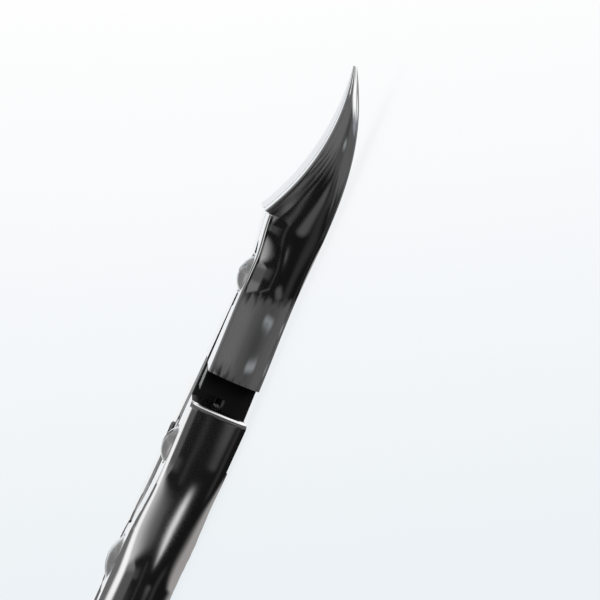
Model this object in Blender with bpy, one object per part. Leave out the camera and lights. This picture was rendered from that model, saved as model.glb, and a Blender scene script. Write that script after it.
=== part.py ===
"""Double-action nail nippers in polished steel: two jaws, two handles, four pivot screws, two leaf springs.

The closed tool lies on its back. +Y runs along the tool to the tip, +X is the opening direction and +Z is the
pivots' axis, with the screw heads up. Each jaw and each handle keeps to its own side. The jaws pivot on each
other at the jaw pivot, the handles at the handle pivot, and each jaw's tail is pinned to the front end of its
handle, so squeezing the handles spreads the tails and shuts the edges harder than a plain pair would.
"""

import math

import bmesh
import bpy
from mathutils import Matrix, Vector

MM = 0.001

# Lengths along the tool, from the jaw pivot
TIP_REACH = 30.5 * MM
HEEL_REACH = 8.9 * MM
SHOULDER_BACK = 12.6 * MM
LINK_BACK = 23.7 * MM
HANDLE_PIVOT_BACK = 41.8 * MM
HANDLE_LENGTH = 77.0 * MM

# Linkage: the link pivots' distance from the middle, shut and open
LINK_OUT = 6.2 * MM
LINK_OUT_OPEN = 3.2 * MM

# Thicknesses along the pivots' axis
PIVOT_THICKNESS = 8.6 * MM
FRONT_THICKNESS = 8.0 * MM
SHANK_THICKNESS = 7.9 * MM
JAW_THICKNESS = 7.1 * MM

# Jaws
EDGE_RADIUS = 32.0 * MM
HEEL_RISE = 1.5 * MM
TIP_HEIGHT = 5.2 * MM
HEEL_HALF = 7.4 * MM
NECK_HALF = 6.1 * MM
SHOULDER_HALF = 10.3 * MM
TIP_HALF = 0.5 * MM
LAND_DIP = 0.3 * MM
HOLLOW_DEPTH = 1.5 * MM
JAW_CROWN = 0.9 * MM
JAW_CORNER = 0.35 * MM
HEEL_STEP = 0.53
NECK_RUN = 0.8
BACK_START = 0.85
BACK_POWER = 2.7
SIDE_POWER = 3.0
SHOULDER_RUN = 1.15

# Lap joints
JAW_LAP_RADIUS = 4.4 * MM
HANDLE_LAP_RADIUS = 5.0 * MM
TAIL_RADIUS = 2.8 * MM
GUARD_WALL = 1.55 * MM
TAIL_WALL = 3.1 * MM
ROOT_RUN = 3.1 * MM
BEVEL_HEIGHT = 1.45 * MM
BEVEL_RUN = 0.7 * MM

# Handles
HANDLE_FRONT = 16.8 * MM
FRONT_CHAMFER = 0.65 * MM
WAIST_WIDTH = 7.2 * MM
GRIP_WIDTH = 5.8 * MM
END_WIDTH = 4.8 * MM
GRIP_BOW = 9.2 * MM
END_ROUND = 4.0 * MM
ROUND_POWER = 2.3
BOXY_POWER = 6.0
FLAT_CUT = 1.12
HANDLE_CROWN = 0.4 * MM
SHANK_RUN = 0.62
FLARE_RUN = 0.77

# Screws
PIN_RADIUS = 1.5 * MM
HEAD_RADIUS = 2.5 * MM
HEAD_RISE = 1.15 * MM
SUNK_HEAD_RISE = 0.2 * MM
HANDLE_PIN_RADIUS = 1.8 * MM
HANDLE_HEAD_RADIUS = 3.1 * MM
HANDLE_HEAD_RISE = 1.05 * MM
SPOT_DEPTH = 0.45 * MM
SLOT_WIDTH = 0.7 * MM
SLOT_DEPTH = 0.7 * MM
SLOT_SHARE = 0.55
SPRING_PIN_RADIUS = 1.0 * MM
SPRING_HEAD_RADIUS = 2.0 * MM
SPRING_HEAD_RISE = 1.0 * MM
SPRING_PIN_GRIP = 2.6 * MM

# Leaf springs
LEAF_WIDTH = 5.0 * MM
LEAF_THICKNESS = 0.7 * MM
LEAF_ROOT_BACK = 48.0 * MM
LEAF_TIP_BACK = 18.5 * MM
LEAF_PAD = 8.0 * MM
LEAF_TAIL = 2.2 * MM
LEAF_LAP = 2.4 * MM
FORK_SLOT = 2.2 * MM
LEAF_STEPS = 12

# Clearances
GAP = 0.3 * MM
PIN_GAP = 0.25 * MM
LAP_INSET = 0.1 * MM
SWING_SPARE = math.radians(0.7)

# Cutters and pockets run this far past the body that they cut
BELOW = -PIVOT_THICKNESS
ABOVE = PIVOT_THICKNESS * 2
POCKET_SPARE = 1.2 * MM

# Curve resolution
RING_POINTS = 20
SCREW_SIDES = 24

# Colours
STEEL = (0.62, 0.63, 0.65)
SCREW_STEEL = (0.55, 0.56, 0.58)
SPRING_STEEL = (0.50, 0.51, 0.53)

# Worked out from the sizes above
MID = PIVOT_THICKNESS / 2
TOOL_LENGTH = TIP_REACH + HANDLE_PIVOT_BACK + HANDLE_LENGTH
JAW_PIVOT_Y = TOOL_LENGTH / 2 - TIP_REACH
HANDLE_PIVOT_Y = JAW_PIVOT_Y - HANDLE_PIVOT_BACK
LINK_Y = JAW_PIVOT_Y - LINK_BACK
SHOULDER_Y = JAW_PIVOT_Y - SHOULDER_BACK
HANDLE_FRONT_Y = JAW_PIVOT_Y - HANDLE_FRONT
BOSS_Y = HANDLE_PIVOT_Y + HANDLE_LAP_RADIUS
HANDLE_END_Y = HANDLE_PIVOT_Y - HANDLE_LENGTH
TIP_Y = JAW_PIVOT_Y + TIP_REACH
HEEL_Y = JAW_PIVOT_Y + HEEL_REACH
JAW_LINK = math.hypot(LINK_OUT, LINK_BACK)
HANDLE_LINK = math.hypot(LINK_OUT, HANDLE_PIVOT_BACK - LINK_BACK)
JAW_SWING = math.asin(LINK_OUT / JAW_LINK) - math.asin(LINK_OUT_OPEN / JAW_LINK)
HANDLE_SWING = math.asin(LINK_OUT / HANDLE_LINK) - math.asin(LINK_OUT_OPEN / HANDLE_LINK)
LINK_SWING = JAW_SWING + HANDLE_SWING
FRONT_HALF = LINK_OUT + TAIL_RADIUS + GAP + GUARD_WALL
JAW_BACK_Z = MID - JAW_THICKNESS / 2
JAW_FRONT_Z = MID + JAW_THICKNESS / 2

# Heights of the spot faces under the screws' heads
JAW_SEAT = JAW_FRONT_Z - LAP_INSET - SPOT_DEPTH
LINK_SEAT = MID + SHANK_THICKNESS / 2 - SPOT_DEPTH
HANDLE_SEAT = PIVOT_THICKNESS - LAP_INSET - SPOT_DEPTH

# Shape of the handle behind its pivot: share of its length, of the bow and of the way from waist to grip
GRIP_LINE = (
    (0.0, 0.0, 0.0),
    (0.14, 0.15, 0.6),
    (0.36, 0.6, 1.0),
    (0.62, 0.97, 1.0),
    (0.82, 1.0, 1.0),
    (1.0, 0.72, 1.0),
)

# Places of the sections, as shares of the stretch that they are on
JAW_SECTIONS = (1.0, 0.985, 0.95, 0.89, 0.8, 0.7, 0.6, 0.5, 0.4, 0.3, 0.2, 0.1, 0.0)
NECK_SECTIONS = (0.03, 0.12, 0.3, 0.55, 0.8)
SHOULDER_SECTIONS = (0.0, 0.17, 0.34, 0.5, 0.66, 0.83, 1.0)
FRONT_SECTIONS = (0.85, 0.7, 0.55, 0.44, 0.33, 0.22, 0.11, 0.0)
GRIP_SECTIONS = (0.07, 0.14, 0.22, 0.3, 0.38, 0.46, 0.54, 0.62, 0.7, 0.78, 0.86, 0.92)
END_SECTIONS = (1.0, 0.6, 0.3, 0.1, 0.0)


def blend(a, b, t):
    """The value a share t of the way from a to b."""
    return a + (b - a) * t


def smooth(t):
    """0 to 1 with level ends."""
    t = min(max(t, 0.0), 1.0)
    return t * t * (3 - 2 * t)


def through(points, t, column):
    """A smooth curve through one column of points whose first column rises, a cubic between each two."""
    last = len(points) - 2
    i = 0
    while i < last and t > points[i + 1][0]:
        i += 1

    def slope(k):
        lo = max(k - 1, 0)
        hi = min(k + 1, len(points) - 1)
        return (points[hi][column] - points[lo][column]) / (points[hi][0] - points[lo][0])

    span = points[i + 1][0] - points[i][0]
    u = (t - points[i][0]) / span
    a = points[i][column]
    b = points[i + 1][column]
    ease = u * u * (3 - 2 * u)
    return blend(a, b, ease) + span * u * (1 - u) * (slope(i) * (1 - u) - slope(i + 1) * u)


def steel(name, colour, roughness):
    """A plain metal material."""
    mat = bpy.data.materials.new(name)
    mat.use_nodes = True
    shader = mat.node_tree.nodes["Principled BSDF"]
    shader.inputs["Base Color"].default_value = (*colour, 1.0)
    shader.inputs["Metallic"].default_value = 1.0
    shader.inputs["Roughness"].default_value = roughness
    return mat


def place(name, bm, mat=None):
    """Turns a bmesh into an object, outward faces first; without a material it is a hidden cutter."""
    bmesh.ops.recalc_face_normals(bm, faces=bm.faces)
    mesh = bpy.data.meshes.new(name)
    bm.to_mesh(mesh)
    bm.free()
    obj = bpy.data.objects.new(name, mesh)
    bpy.context.collection.objects.link(obj)
    if mat:
        mesh.materials.append(mat)
    else:
        obj.hide_render = True
        obj.display_type = "WIRE"
    return obj


def loft(name, rings, mat=None):
    """A closed body through rings of equally many points, with a flat cap at each end."""
    bm = bmesh.new()
    rows = [[bm.verts.new(p) for p in ring] for ring in rings]
    count = len(rows[0])
    for row, following in zip(rows, rows[1:]):
        for i in range(count):
            j = (i + 1) % count
            bm.faces.new((row[i], row[j], following[j], following[i]))
    bm.faces.new(rows[0])
    bm.faces.new(rows[-1])
    return place(name, bm, mat)


def prism(name, outline, low, high):
    """An outline in X and Y carried from one height to another."""
    return loft(name, [[(x, y, z) for x, y in outline] for z in (low, high)])


def arc(x, y, radius, start, end, steps):
    """Points on an arc, with the angles in degrees from +X."""
    turns = [math.radians(blend(start, end, i / steps)) for i in range(steps + 1)]
    return [(x + radius * math.cos(t), y + radius * math.sin(t)) for t in turns]


def disc(name, x, y, radius, low, high):
    """A round plate or a round cutter on an upright axis."""
    return prism(name, arc(x, y, radius, 0, 360 - 360 / SCREW_SIDES, SCREW_SIDES - 1), low, high)


def combine(target, other, operation):
    """Joins another body to the target or cuts it from it."""
    mod = target.modifiers.new(operation.lower(), "BOOLEAN")
    mod.operation = operation
    mod.object = other
    other.hide_render = True
    other.display_type = "WIRE"


def round_shading(obj):
    """Smooth shading with the true edges kept sharp."""
    obj.data.shade_smooth()
    obj.data.set_sharp_from_angle(angle=math.radians(32))


def hinge(name, x, y, pieces, carrier=None):
    """An empty on a joint's axis, which the pieces turning about it hang from with their cutters."""
    pivot = bpy.data.objects.new(name, None)
    bpy.context.collection.objects.link(pivot)
    pivot.location = (x, y, MID)
    for piece in pieces:
        for obj in [piece] + [mod.object for mod in piece.modifiers]:
            obj.parent = pivot
            obj.location -= pivot.location
    if carrier:
        pivot.parent = carrier
        pivot.location -= carrier.location
    return pivot


# Jaws


def edge_height(y):
    """Height of the jaw's front corner over the cutting stretch: an arc from the heel to the tip."""
    heel = Vector((HEEL_Y, JAW_FRONT_Z + HEEL_RISE))
    tip = Vector((TIP_Y, JAW_BACK_Z + TIP_HEIGHT))
    chord = tip - heel
    middle = (tip + heel) / 2
    across = Vector((-chord.y, chord.x)).normalized()
    centre = middle + across * math.sqrt(EDGE_RADIUS**2 - chord.length_squared / 4)
    return centre.y - math.sqrt(EDGE_RADIUS**2 - (y - centre.x) ** 2)


def front_height(y):
    """Height of the jaw's front side: the cutting arc, then a step down behind the heel to the flat neck."""
    if y >= HEEL_Y:
        return edge_height(y)
    behind = (HEEL_Y - y) / HEEL_REACH
    return JAW_FRONT_Z + HEEL_RISE * HEEL_STEP * (1 - smooth(behind / NECK_RUN))


def back_height(y):
    """Height of the jaw's back: flat at the neck, rising to the tip with a power of the distance."""
    start = HEEL_REACH * BACK_START
    share = max(y - JAW_PIVOT_Y - start, 0.0) / (TIP_REACH - start)
    return JAW_BACK_Z + (TIP_HEIGHT - TIP_HALF) * share**BACK_POWER


def jaw_half(y):
    """The jaw's outer half width: narrow at the tip, even at the neck and flared to the shoulder."""
    if y >= HEEL_Y:
        share = (y - HEEL_Y) / (TIP_Y - HEEL_Y)
        return blend(HEEL_HALF, TIP_HALF, share**SIDE_POWER)
    if y >= JAW_PIVOT_Y:
        return blend(NECK_HALF, HEEL_HALF, smooth((y - JAW_PIVOT_Y) / HEEL_REACH))
    return blend(NECK_HALF, SHOULDER_HALF, smooth((JAW_PIVOT_Y - y) / (SHOULDER_BACK * SHOULDER_RUN)))


def jaw_inner(y):
    """The jaw's inner side, which leaves the middle behind the pivot so that the tails can swing in."""
    behind = max(JAW_PIVOT_Y - y, 0.0)
    return GAP / 2 + behind * math.tan(JAW_SWING + SWING_SPARE)


def jaw_ring(y, side):
    """One section of a jaw: front land, crowned outer side with rounded corners, back, hollow inner side."""
    front = front_height(y)
    back = back_height(y)
    half = jaw_half(y)
    inner = jaw_inner(y)
    fill = half / HEEL_HALF
    tall = front - back
    crown = min(JAW_CROWN, half * 0.3)
    corner = min(JAW_CORNER, half * 0.25, tall * 0.2)
    wide = half - crown
    share = (y - HEEL_Y) / (TIP_Y - HEEL_Y)
    hollow = HOLLOW_DEPTH * math.sin(math.pi * share) if 0 < share < 1 else 0.0
    hollow = min(hollow, (wide - inner) * 0.45)
    dip = LAND_DIP * fill if 0 <= share else 0.0
    points = [(inner, front - min(dip, tall * 0.25))]
    points += [(wide - corner, front), (wide - corner * 0.3, front - corner * 0.3)]
    for i in range(9):
        s = i / 8
        points.append((wide + crown * 4 * s * (1 - s), blend(front - corner, back + corner, s)))
    points += [(wide - corner * 0.3, back + corner * 0.3), (wide - corner, back)]
    for share, height in ((1.0, 0.0), (0.7, 0.4), (0.3, 0.75)):
        points.append((inner + hollow * share, back + tall * height))
    return [(side * x, y, z) for x, z in points]


def tail_outer(y):
    """The tail's outer side, a slope that clears the handle's front end when the tool is open."""
    turn = LINK_SWING + SWING_SPARE
    return LINK_OUT + TAIL_RADIUS / math.cos(turn) - (y - LINK_Y) * math.tan(turn)


def jaw_tail(side, low, high):
    """The plate behind the shoulder that carries the link pivot: a disc and a neck that clears the handle."""
    turn = math.degrees(LINK_SWING + SWING_SPARE)
    start = SHOULDER_Y + TAIL_WALL
    outline = arc(LINK_OUT, LINK_Y, TAIL_RADIUS, -180, turn, 16)
    outline += [(tail_outer(start), start), (jaw_inner(start) + LAP_INSET, start)]
    return prism("tail_plate", [(side * x, y) for x, y in outline], low, high)


def tail_root(side):
    """The tail's full-thickness root, between the shoulder and the handle's front end."""
    start, end = SHOULDER_Y + TAIL_WALL, SHOULDER_Y - ROOT_RUN
    outline = [(tail_outer(end), end), (tail_outer(start), start)]
    outline += [(jaw_inner(start) + LAP_INSET, start), (jaw_inner(end) + LAP_INSET, end)]
    outline = [(side * x, y) for x, y in outline]
    return prism("tail_root", outline, JAW_BACK_Z + LAP_INSET, JAW_FRONT_Z - LAP_INSET)


def jaw(side, name, mat):
    """One jaw. The right jaw's lap and tail are its back half, the left jaw's its front half."""
    stations = [blend(HEEL_Y, TIP_Y, s) for s in JAW_SECTIONS]
    stations += [HEEL_Y - HEEL_REACH * s for s in NECK_SECTIONS]
    stations += [JAW_PIVOT_Y - SHOULDER_BACK * s for s in SHOULDER_SECTIONS]
    body = loft(name, [jaw_ring(y, side) for y in stations], mat)
    if side > 0:
        low, high = JAW_BACK_Z + LAP_INSET, MID - GAP / 2
        cut_low, cut_high = MID - GAP / 2, ABOVE
    else:
        low, high = MID + GAP / 2, JAW_FRONT_Z - LAP_INSET
        cut_low, cut_high = BELOW, MID + GAP / 2
    combine(body, tail_root(side), "UNION")
    combine(body, jaw_tail(side, low, high), "UNION")
    combine(body, disc("jaw_lap_plate", 0, JAW_PIVOT_Y, JAW_LAP_RADIUS, low, high), "UNION")
    recess = disc("jaw_lap_recess", 0, JAW_PIVOT_Y, JAW_LAP_RADIUS + GAP, cut_low, cut_high)
    combine(body, recess, "DIFFERENCE")
    for x, y in ((0, JAW_PIVOT_Y), (side * LINK_OUT, LINK_Y)):
        combine(body, disc("jaw_hole", x, y, PIN_RADIUS + PIN_GAP, BELOW, ABOVE), "DIFFERENCE")
    if side < 0:
        spot = disc("jaw_spot_face", 0, JAW_PIVOT_Y, HEAD_RADIUS + PIN_GAP, JAW_SEAT, ABOVE)
        combine(body, spot, "DIFFERENCE")
    round_shading(body)
    return body


# Handles


def handle_sides(y):
    """Inner and outer side of a shut handle at one place along it."""
    ahead = y - HANDLE_PIVOT_Y
    if ahead >= 0:
        inner = GAP / 2 + ahead * math.tan(HANDLE_SWING + SWING_SPARE)
        reach = HANDLE_PIVOT_BACK - LINK_BACK
        outer = blend(WAIST_WIDTH + GAP / 2, FRONT_HALF, smooth(ahead / reach))
        nose = y - (HANDLE_FRONT_Y - FRONT_CHAMFER)
        if nose > 0:
            outer -= nose
            inner += nose * 0.5
        return inner, outer
    share = -ahead / HANDLE_LENGTH
    inner = GAP / 2 + GRIP_BOW * through(GRIP_LINE, share, 1)
    grip = blend(GRIP_WIDTH, END_WIDTH, smooth((share - 0.6) / 0.4))
    width = blend(WAIST_WIDTH, grip, through(GRIP_LINE, share, 2))
    return inner, inner + width


def handle_thickness(y):
    """Thickness along the pivots' axis: a flared front end, a thinner shank and a full boss and grip."""
    if y <= BOSS_Y:
        return PIVOT_THICKNESS
    if y <= LINK_Y:
        share = (y - BOSS_Y) / (LINK_Y - BOSS_Y)
        return blend(PIVOT_THICKNESS, SHANK_THICKNESS, smooth(share / SHANK_RUN))
    share = (y - LINK_Y) / (HANDLE_FRONT_Y - LINK_Y)
    return blend(SHANK_THICKNESS, FRONT_THICKNESS, smooth(share / FLARE_RUN))


def handle_ring(y, side):
    """One section of a handle: a rounded box with a flat front and back and a crowned outer side."""
    inner, outer = handle_sides(y)
    thick = handle_thickness(y)
    end = y - HANDLE_END_Y
    shrink = 1.0
    if end < END_ROUND:
        shrink = max(math.sqrt(1 - (1 - end / END_ROUND) ** 2), 0.12)
    boxy = smooth((y - HANDLE_PIVOT_Y) / (LINK_Y - HANDLE_PIVOT_Y))
    power = blend(ROUND_POWER, BOXY_POWER, boxy)
    centre = (inner + outer) / 2
    half_x = (outer - inner) / 2 * shrink
    half_z = thick / 2 * blend(shrink, 1.0, 0.35)
    ring = []
    for i in range(RING_POINTS):
        turn = 2 * math.pi * i / RING_POINTS
        c = math.cos(turn)
        s = math.sin(turn)
        x = centre + half_x * math.copysign(abs(c) ** (2 / power), c)
        z = half_z * FLAT_CUT * math.copysign(abs(s) ** (2 / power), s)
        z = min(max(z, -half_z), half_z)
        if c > 0:
            x -= min(HANDLE_CROWN, half_x * 0.3) * c * (z / half_z) ** 2
        ring.append((side * x, y, MID + z))
    return ring


def tail_pocket(side, low, high):
    """The space that a jaw's tail swings in: a round end about the link pivot, open inwards and forwards."""
    radius = TAIL_RADIUS + GAP
    front = HANDLE_FRONT_Y + POCKET_SPARE
    outline = arc(LINK_OUT, LINK_Y, radius, -90, 0, 6)
    outline += [(LINK_OUT + radius, front), (-POCKET_SPARE, front), (-POCKET_SPARE, LINK_Y - radius)]
    return prism("tail_pocket", [(side * x, y) for x, y in outline], low, high)


def pocket_bevel(side):
    """The slope inside the pocket's outer wall, on the pocket's side of the middle."""
    wall = LINK_OUT + TAIL_RADIUS + GAP
    rim = FRONT_THICKNESS / 2
    outline = [(wall, rim - BEVEL_HEIGHT), (wall + BEVEL_RUN, rim), (wall + BEVEL_RUN, PIVOT_THICKNESS)]
    outline += [(wall - GAP, PIVOT_THICKNESS), (wall - GAP, rim - BEVEL_HEIGHT)]
    ends = (LINK_Y, HANDLE_FRONT_Y + POCKET_SPARE)
    return loft("pocket_bevel", [[(side * x, y, MID - side * z) for x, z in outline] for y in ends])


def handle(side, name, mat):
    """One handle. The right handle's laps are its front half, the left handle's its back half, and each one's
    link screw goes in from that half."""
    stations = [HANDLE_FRONT_Y, HANDLE_FRONT_Y - FRONT_CHAMFER]
    reach = HANDLE_FRONT_Y - FRONT_CHAMFER - HANDLE_PIVOT_Y
    stations += [HANDLE_PIVOT_Y + reach * s for s in FRONT_SECTIONS]
    stations += [HANDLE_PIVOT_Y - HANDLE_LENGTH * s for s in GRIP_SECTIONS]
    stations += [HANDLE_END_Y + END_ROUND * s for s in END_SECTIONS]
    body = loft(name, [handle_ring(y, side) for y in stations], mat)
    if side > 0:
        low, high = MID + GAP / 2, PIVOT_THICKNESS - LAP_INSET
        cut_low, cut_high = BELOW, MID + GAP / 2
        spot_low, spot_high = LINK_SEAT, ABOVE
    else:
        low, high = LAP_INSET, MID - GAP / 2
        cut_low, cut_high = MID - GAP / 2, ABOVE
        spot_low, spot_high = BELOW, 2 * MID - LINK_SEAT
    combine(body, disc("handle_lap_plate", 0, HANDLE_PIVOT_Y, HANDLE_LAP_RADIUS, low, high), "UNION")
    recess = disc("handle_lap_recess", 0, HANDLE_PIVOT_Y, HANDLE_LAP_RADIUS + GAP, cut_low, cut_high)
    combine(body, recess, "DIFFERENCE")
    combine(body, tail_pocket(side, cut_low, cut_high), "DIFFERENCE")
    combine(body, pocket_bevel(side), "DIFFERENCE")
    link = (side * LINK_OUT, LINK_Y)
    combine(body, disc("link_hole", *link, PIN_RADIUS + PIN_GAP, BELOW, ABOVE), "DIFFERENCE")
    combine(body, disc("link_spot_face", *link, HEAD_RADIUS + PIN_GAP, spot_low, spot_high), "DIFFERENCE")
    pivot = (0, HANDLE_PIVOT_Y)
    combine(body, disc("handle_hole", *pivot, HANDLE_PIN_RADIUS + PIN_GAP, BELOW, ABOVE), "DIFFERENCE")
    if side > 0:
        spot = disc("handle_spot_face", *pivot, HANDLE_HEAD_RADIUS + PIN_GAP, HANDLE_SEAT, ABOVE)
        combine(body, spot, "DIFFERENCE")
    combine(body, spring_screw_hole(side), "DIFFERENCE")
    round_shading(body)
    return body


# Screws


def screw_profile(pin, head, rise, low, seat):
    """Half outline of a screw from its end to the top of its domed head, as radius and height."""
    bevel = pin * 0.2
    ball = (head**2 + rise**2) / (2 * rise)
    under = seat + GAP / 2
    rim = seat + SPOT_DEPTH
    profile = [(0.0, low), (pin - bevel, low), (pin, low + bevel), (pin, under), (head, under)]
    full = math.asin(head / ball)
    for i in range(6):
        turn = full * (1 - i / 6)
        profile.append((ball * math.sin(turn), rim + rise - ball * (1 - math.cos(turn))))
    profile.append((0.0, rim + rise))
    return profile


def turned(name, profile, mat):
    """A profile of radius and height turned about the Z axis, with one point at each pole."""
    bm = bmesh.new()
    rows = []
    for radius, height in profile:
        if radius == 0.0:
            rows.append([bm.verts.new((0, 0, height))])
            continue
        turns = [2 * math.pi * i / SCREW_SIDES for i in range(SCREW_SIDES)]
        rows.append([bm.verts.new((radius * math.cos(t), radius * math.sin(t), height)) for t in turns])
    for low, high in zip(rows, rows[1:]):
        for i in range(SCREW_SIDES):
            j = (i + 1) % SCREW_SIDES
            if len(low) == 1:
                bm.faces.new((low[0], high[i], high[j]))
            elif len(high) == 1:
                bm.faces.new((low[i], low[j], high[0]))
            else:
                bm.faces.new((low[i], low[j], high[j], high[i]))
    return place(name, bm, mat)


def slot_cutter(head, rise, seat, turn):
    """The bar that cuts a driver slot across a screw head."""
    long = head * 1.4
    half = SLOT_WIDTH / 2
    top = seat + SPOT_DEPTH + rise
    depth = min(SLOT_DEPTH, (SPOT_DEPTH + rise) * SLOT_SHARE)
    outline = [(-long, -half), (long, -half), (long, half), (-long, half)]
    cutter = prism("slot", outline, top - depth, top + depth)
    cutter.data.transform(Matrix.Rotation(turn, 4, "Z"))
    return cutter


def pivot_screw(name, x, y, pin, head, rise, low, seat, turn, mat, from_back=False):
    """A slotted pivot screw with its origin on its axis. One that goes in from the back is turned over."""
    screw = turned(name, screw_profile(pin, head, rise, low, seat), mat)
    cutter = slot_cutter(head, rise, seat, turn)
    for obj in (screw, cutter):
        obj.location = (x, y, 0)
        if from_back:
            obj.data.transform(Matrix.Translation((0, 0, 2 * MID)) @ Matrix.Rotation(math.pi, 4, "Y"))
    combine(screw, cutter, "DIFFERENCE")
    round_shading(screw)
    return screw


# Leaf springs


def leaf_path():
    """Centre line of the right leaf in X and Y: a straight pad, a bow to the middle and a lip. The second
    point is on the spring screw's axis, which the leaf bends from."""
    root_y = HANDLE_PIVOT_Y - LEAF_ROOT_BACK
    tip_y = HANDLE_PIVOT_Y - LEAF_TIP_BACK
    off = GAP + LEAF_THICKNESS / 2
    start = Vector((handle_sides(root_y - LEAF_PAD)[0] - off, root_y - LEAF_PAD))
    root = Vector((handle_sides(root_y)[0] - off, root_y))
    along = (root - start).normalized()
    reach = tip_y - root_y
    cross = Vector((0.0, tip_y))
    leave = root + along * reach * 0.42
    arrive = cross - Vector((-0.5, 0.87)) * reach * 0.34
    path = [start, start + along * LEAF_TAIL]
    for i in range(LEAF_STEPS + 1):
        t = i / LEAF_STEPS
        first = blend(blend(root, leave, t), blend(leave, arrive, t), t)
        second = blend(blend(leave, arrive, t), blend(arrive, cross, t), t)
        path.append(blend(first, second, t))
    heading = (path[-1] - path[-2]).normalized()
    path.append(cross + heading * LEAF_LAP * 0.5)
    path.append(cross + heading * LEAF_LAP * 0.8 + Vector((0.0, LEAF_LAP * 0.25)))
    return path


def leaf(side, name, mat):
    """One leaf spring: the right one ends in a fork, the left one in a tongue that passes through it."""
    path = leaf_path()
    rings = []
    for i, point in enumerate(path):
        ahead = path[min(i + 1, len(path) - 1)]
        behind = path[max(i - 1, 0)]
        along = (ahead - behind).normalized()
        across = Vector((-along.y, along.x)) * LEAF_THICKNESS / 2
        near_tip = smooth((i - 6) / 5)
        wide = LEAF_WIDTH / 2
        if side < 0:
            wide = blend(wide, FORK_SLOT / 2 - GAP, near_tip)
        corners = ((1, -1), (-1, -1), (-1, 1), (1, 1))
        ring = [(*(point + across * face), MID + wide * edge) for face, edge in corners]
        rings.append([(side * x, y, z) for x, y, z in ring])
    body = loft(name, rings, mat)
    if side > 0:
        low = HANDLE_PIVOT_Y - LEAF_TIP_BACK - LEAF_LAP * 1.7
        high = HANDLE_PIVOT_Y
        reach = LEAF_LAP * 4
        outline = [(-reach, low), (reach, low), (reach, high), (-reach, high)]
        slot = prism("fork_slot", outline, MID - FORK_SLOT / 2, MID + FORK_SLOT / 2)
        combine(body, slot, "DIFFERENCE")
    combine(body, spring_screw_hole(side), "DIFFERENCE")
    round_shading(body)
    return body


def spring_screw_place():
    """Where the right spring screw's axis meets the leaf's face, and the direction it leaves the grip in."""
    path = leaf_path()
    along = (path[1] - path[0]).normalized()
    inward = Vector((-along.y, along.x))
    return path[1] + inward * LEAF_THICKNESS / 2, inward


def aim(obj, side):
    """Turns a body made on the Z axis onto the spring screw's axis, on the side it belongs to."""
    spot, inward = spring_screw_place()
    axis = Vector((side * inward.x, inward.y, 0))
    turn = axis.to_track_quat("Z", "Y").to_matrix().to_4x4()
    obj.data.transform(Matrix.Translation((side * spot.x, spot.y, MID)) @ turn)


def spring_screw_hole(side):
    """The hole through the leaf and into the grip for a spring screw."""
    deep = LEAF_THICKNESS + GAP * 2 + SPRING_PIN_GRIP
    cutter = disc("spring_screw_hole", 0, 0, SPRING_PIN_RADIUS + PIN_GAP, -deep, LEAF_THICKNESS)
    aim(cutter, side)
    return cutter


def spring_screw(side, name, mat):
    """The slotted screw that holds a leaf to its grip."""
    low = -(LEAF_THICKNESS + GAP + SPRING_PIN_GRIP)
    seat = GAP / 2
    profile = screw_profile(SPRING_PIN_RADIUS, SPRING_HEAD_RADIUS, SPRING_HEAD_RISE, low, seat)
    screw = turned(name, profile, mat)
    cutter = slot_cutter(SPRING_HEAD_RADIUS, SPRING_HEAD_RISE, seat, math.radians(90))
    aim(screw, side)
    aim(cutter, side)
    combine(screw, cutter, "DIFFERENCE")
    round_shading(screw)
    return screw


def build():
    """The whole tool, shut and lying on its back."""
    for obj in list(bpy.data.objects):
        bpy.data.objects.remove(obj)
    jaw_mat = steel("jaw_steel", STEEL, 0.12)
    handle_mat = steel("handle_steel", STEEL, 0.14)
    screw_mat = steel("screw_steel", SCREW_STEEL, 0.18)
    spring_mat = steel("spring_steel", SPRING_STEEL, 0.3)
    jaw_right = jaw(1, "jaw_right", jaw_mat)
    jaw_left = jaw(-1, "jaw_left", jaw_mat)
    handle(1, "handle_right", handle_mat)
    handle_left = handle(-1, "handle_left", handle_mat)
    end = JAW_BACK_Z + LAP_INSET
    slim = (PIN_RADIUS, HEAD_RADIUS)
    stout = (HANDLE_PIN_RADIUS, HANDLE_HEAD_RADIUS, HANDLE_HEAD_RISE, LAP_INSET * 2, HANDLE_SEAT)
    turn = math.radians(35)
    jaw_screw = pivot_screw("jaw_screw", 0, JAW_PIVOT_Y, *slim, HEAD_RISE, end, JAW_SEAT, turn, screw_mat)
    shape = (*slim, HEAD_RISE, end, LINK_SEAT)
    right_link = pivot_screw("link_screw_right", LINK_OUT, LINK_Y, *shape, math.radians(70), screw_mat)
    shape = (*slim, SUNK_HEAD_RISE, end, LINK_SEAT)
    left_link = pivot_screw("link_screw_left", -LINK_OUT, LINK_Y, *shape, math.radians(20), screw_mat, True)
    handle_screw = pivot_screw("handle_screw", 0, HANDLE_PIVOT_Y, *stout, math.radians(110), screw_mat)
    right_leaf = leaf(1, "leaf_spring_right", spring_mat)
    left_leaf = leaf(-1, "leaf_spring_left", spring_mat)
    spring_screw(1, "spring_screw_right", screw_mat)
    left_spring_screw = spring_screw(-1, "spring_screw_left", screw_mat)
    handle_pieces = (handle_left, handle_screw, left_link, left_spring_screw)
    handle_hinge = hinge("handle_hinge", 0, HANDLE_PIVOT_Y, handle_pieces)
    link_hinge = hinge("link_hinge", LINK_OUT, LINK_Y, (jaw_right, jaw_screw, right_link))
    hinge("jaw_hinge", 0, JAW_PIVOT_Y, (jaw_left,), link_hinge)
    bend = leaf_path()[1]
    hinge("leaf_bend_right", bend.x, bend.y, (right_leaf,))
    hinge("leaf_bend_left", -bend.x, bend.y, (left_leaf,), handle_hinge)


build()
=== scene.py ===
import math

import bpy
import numpy as np
from mathutils import Matrix, Vector


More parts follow.
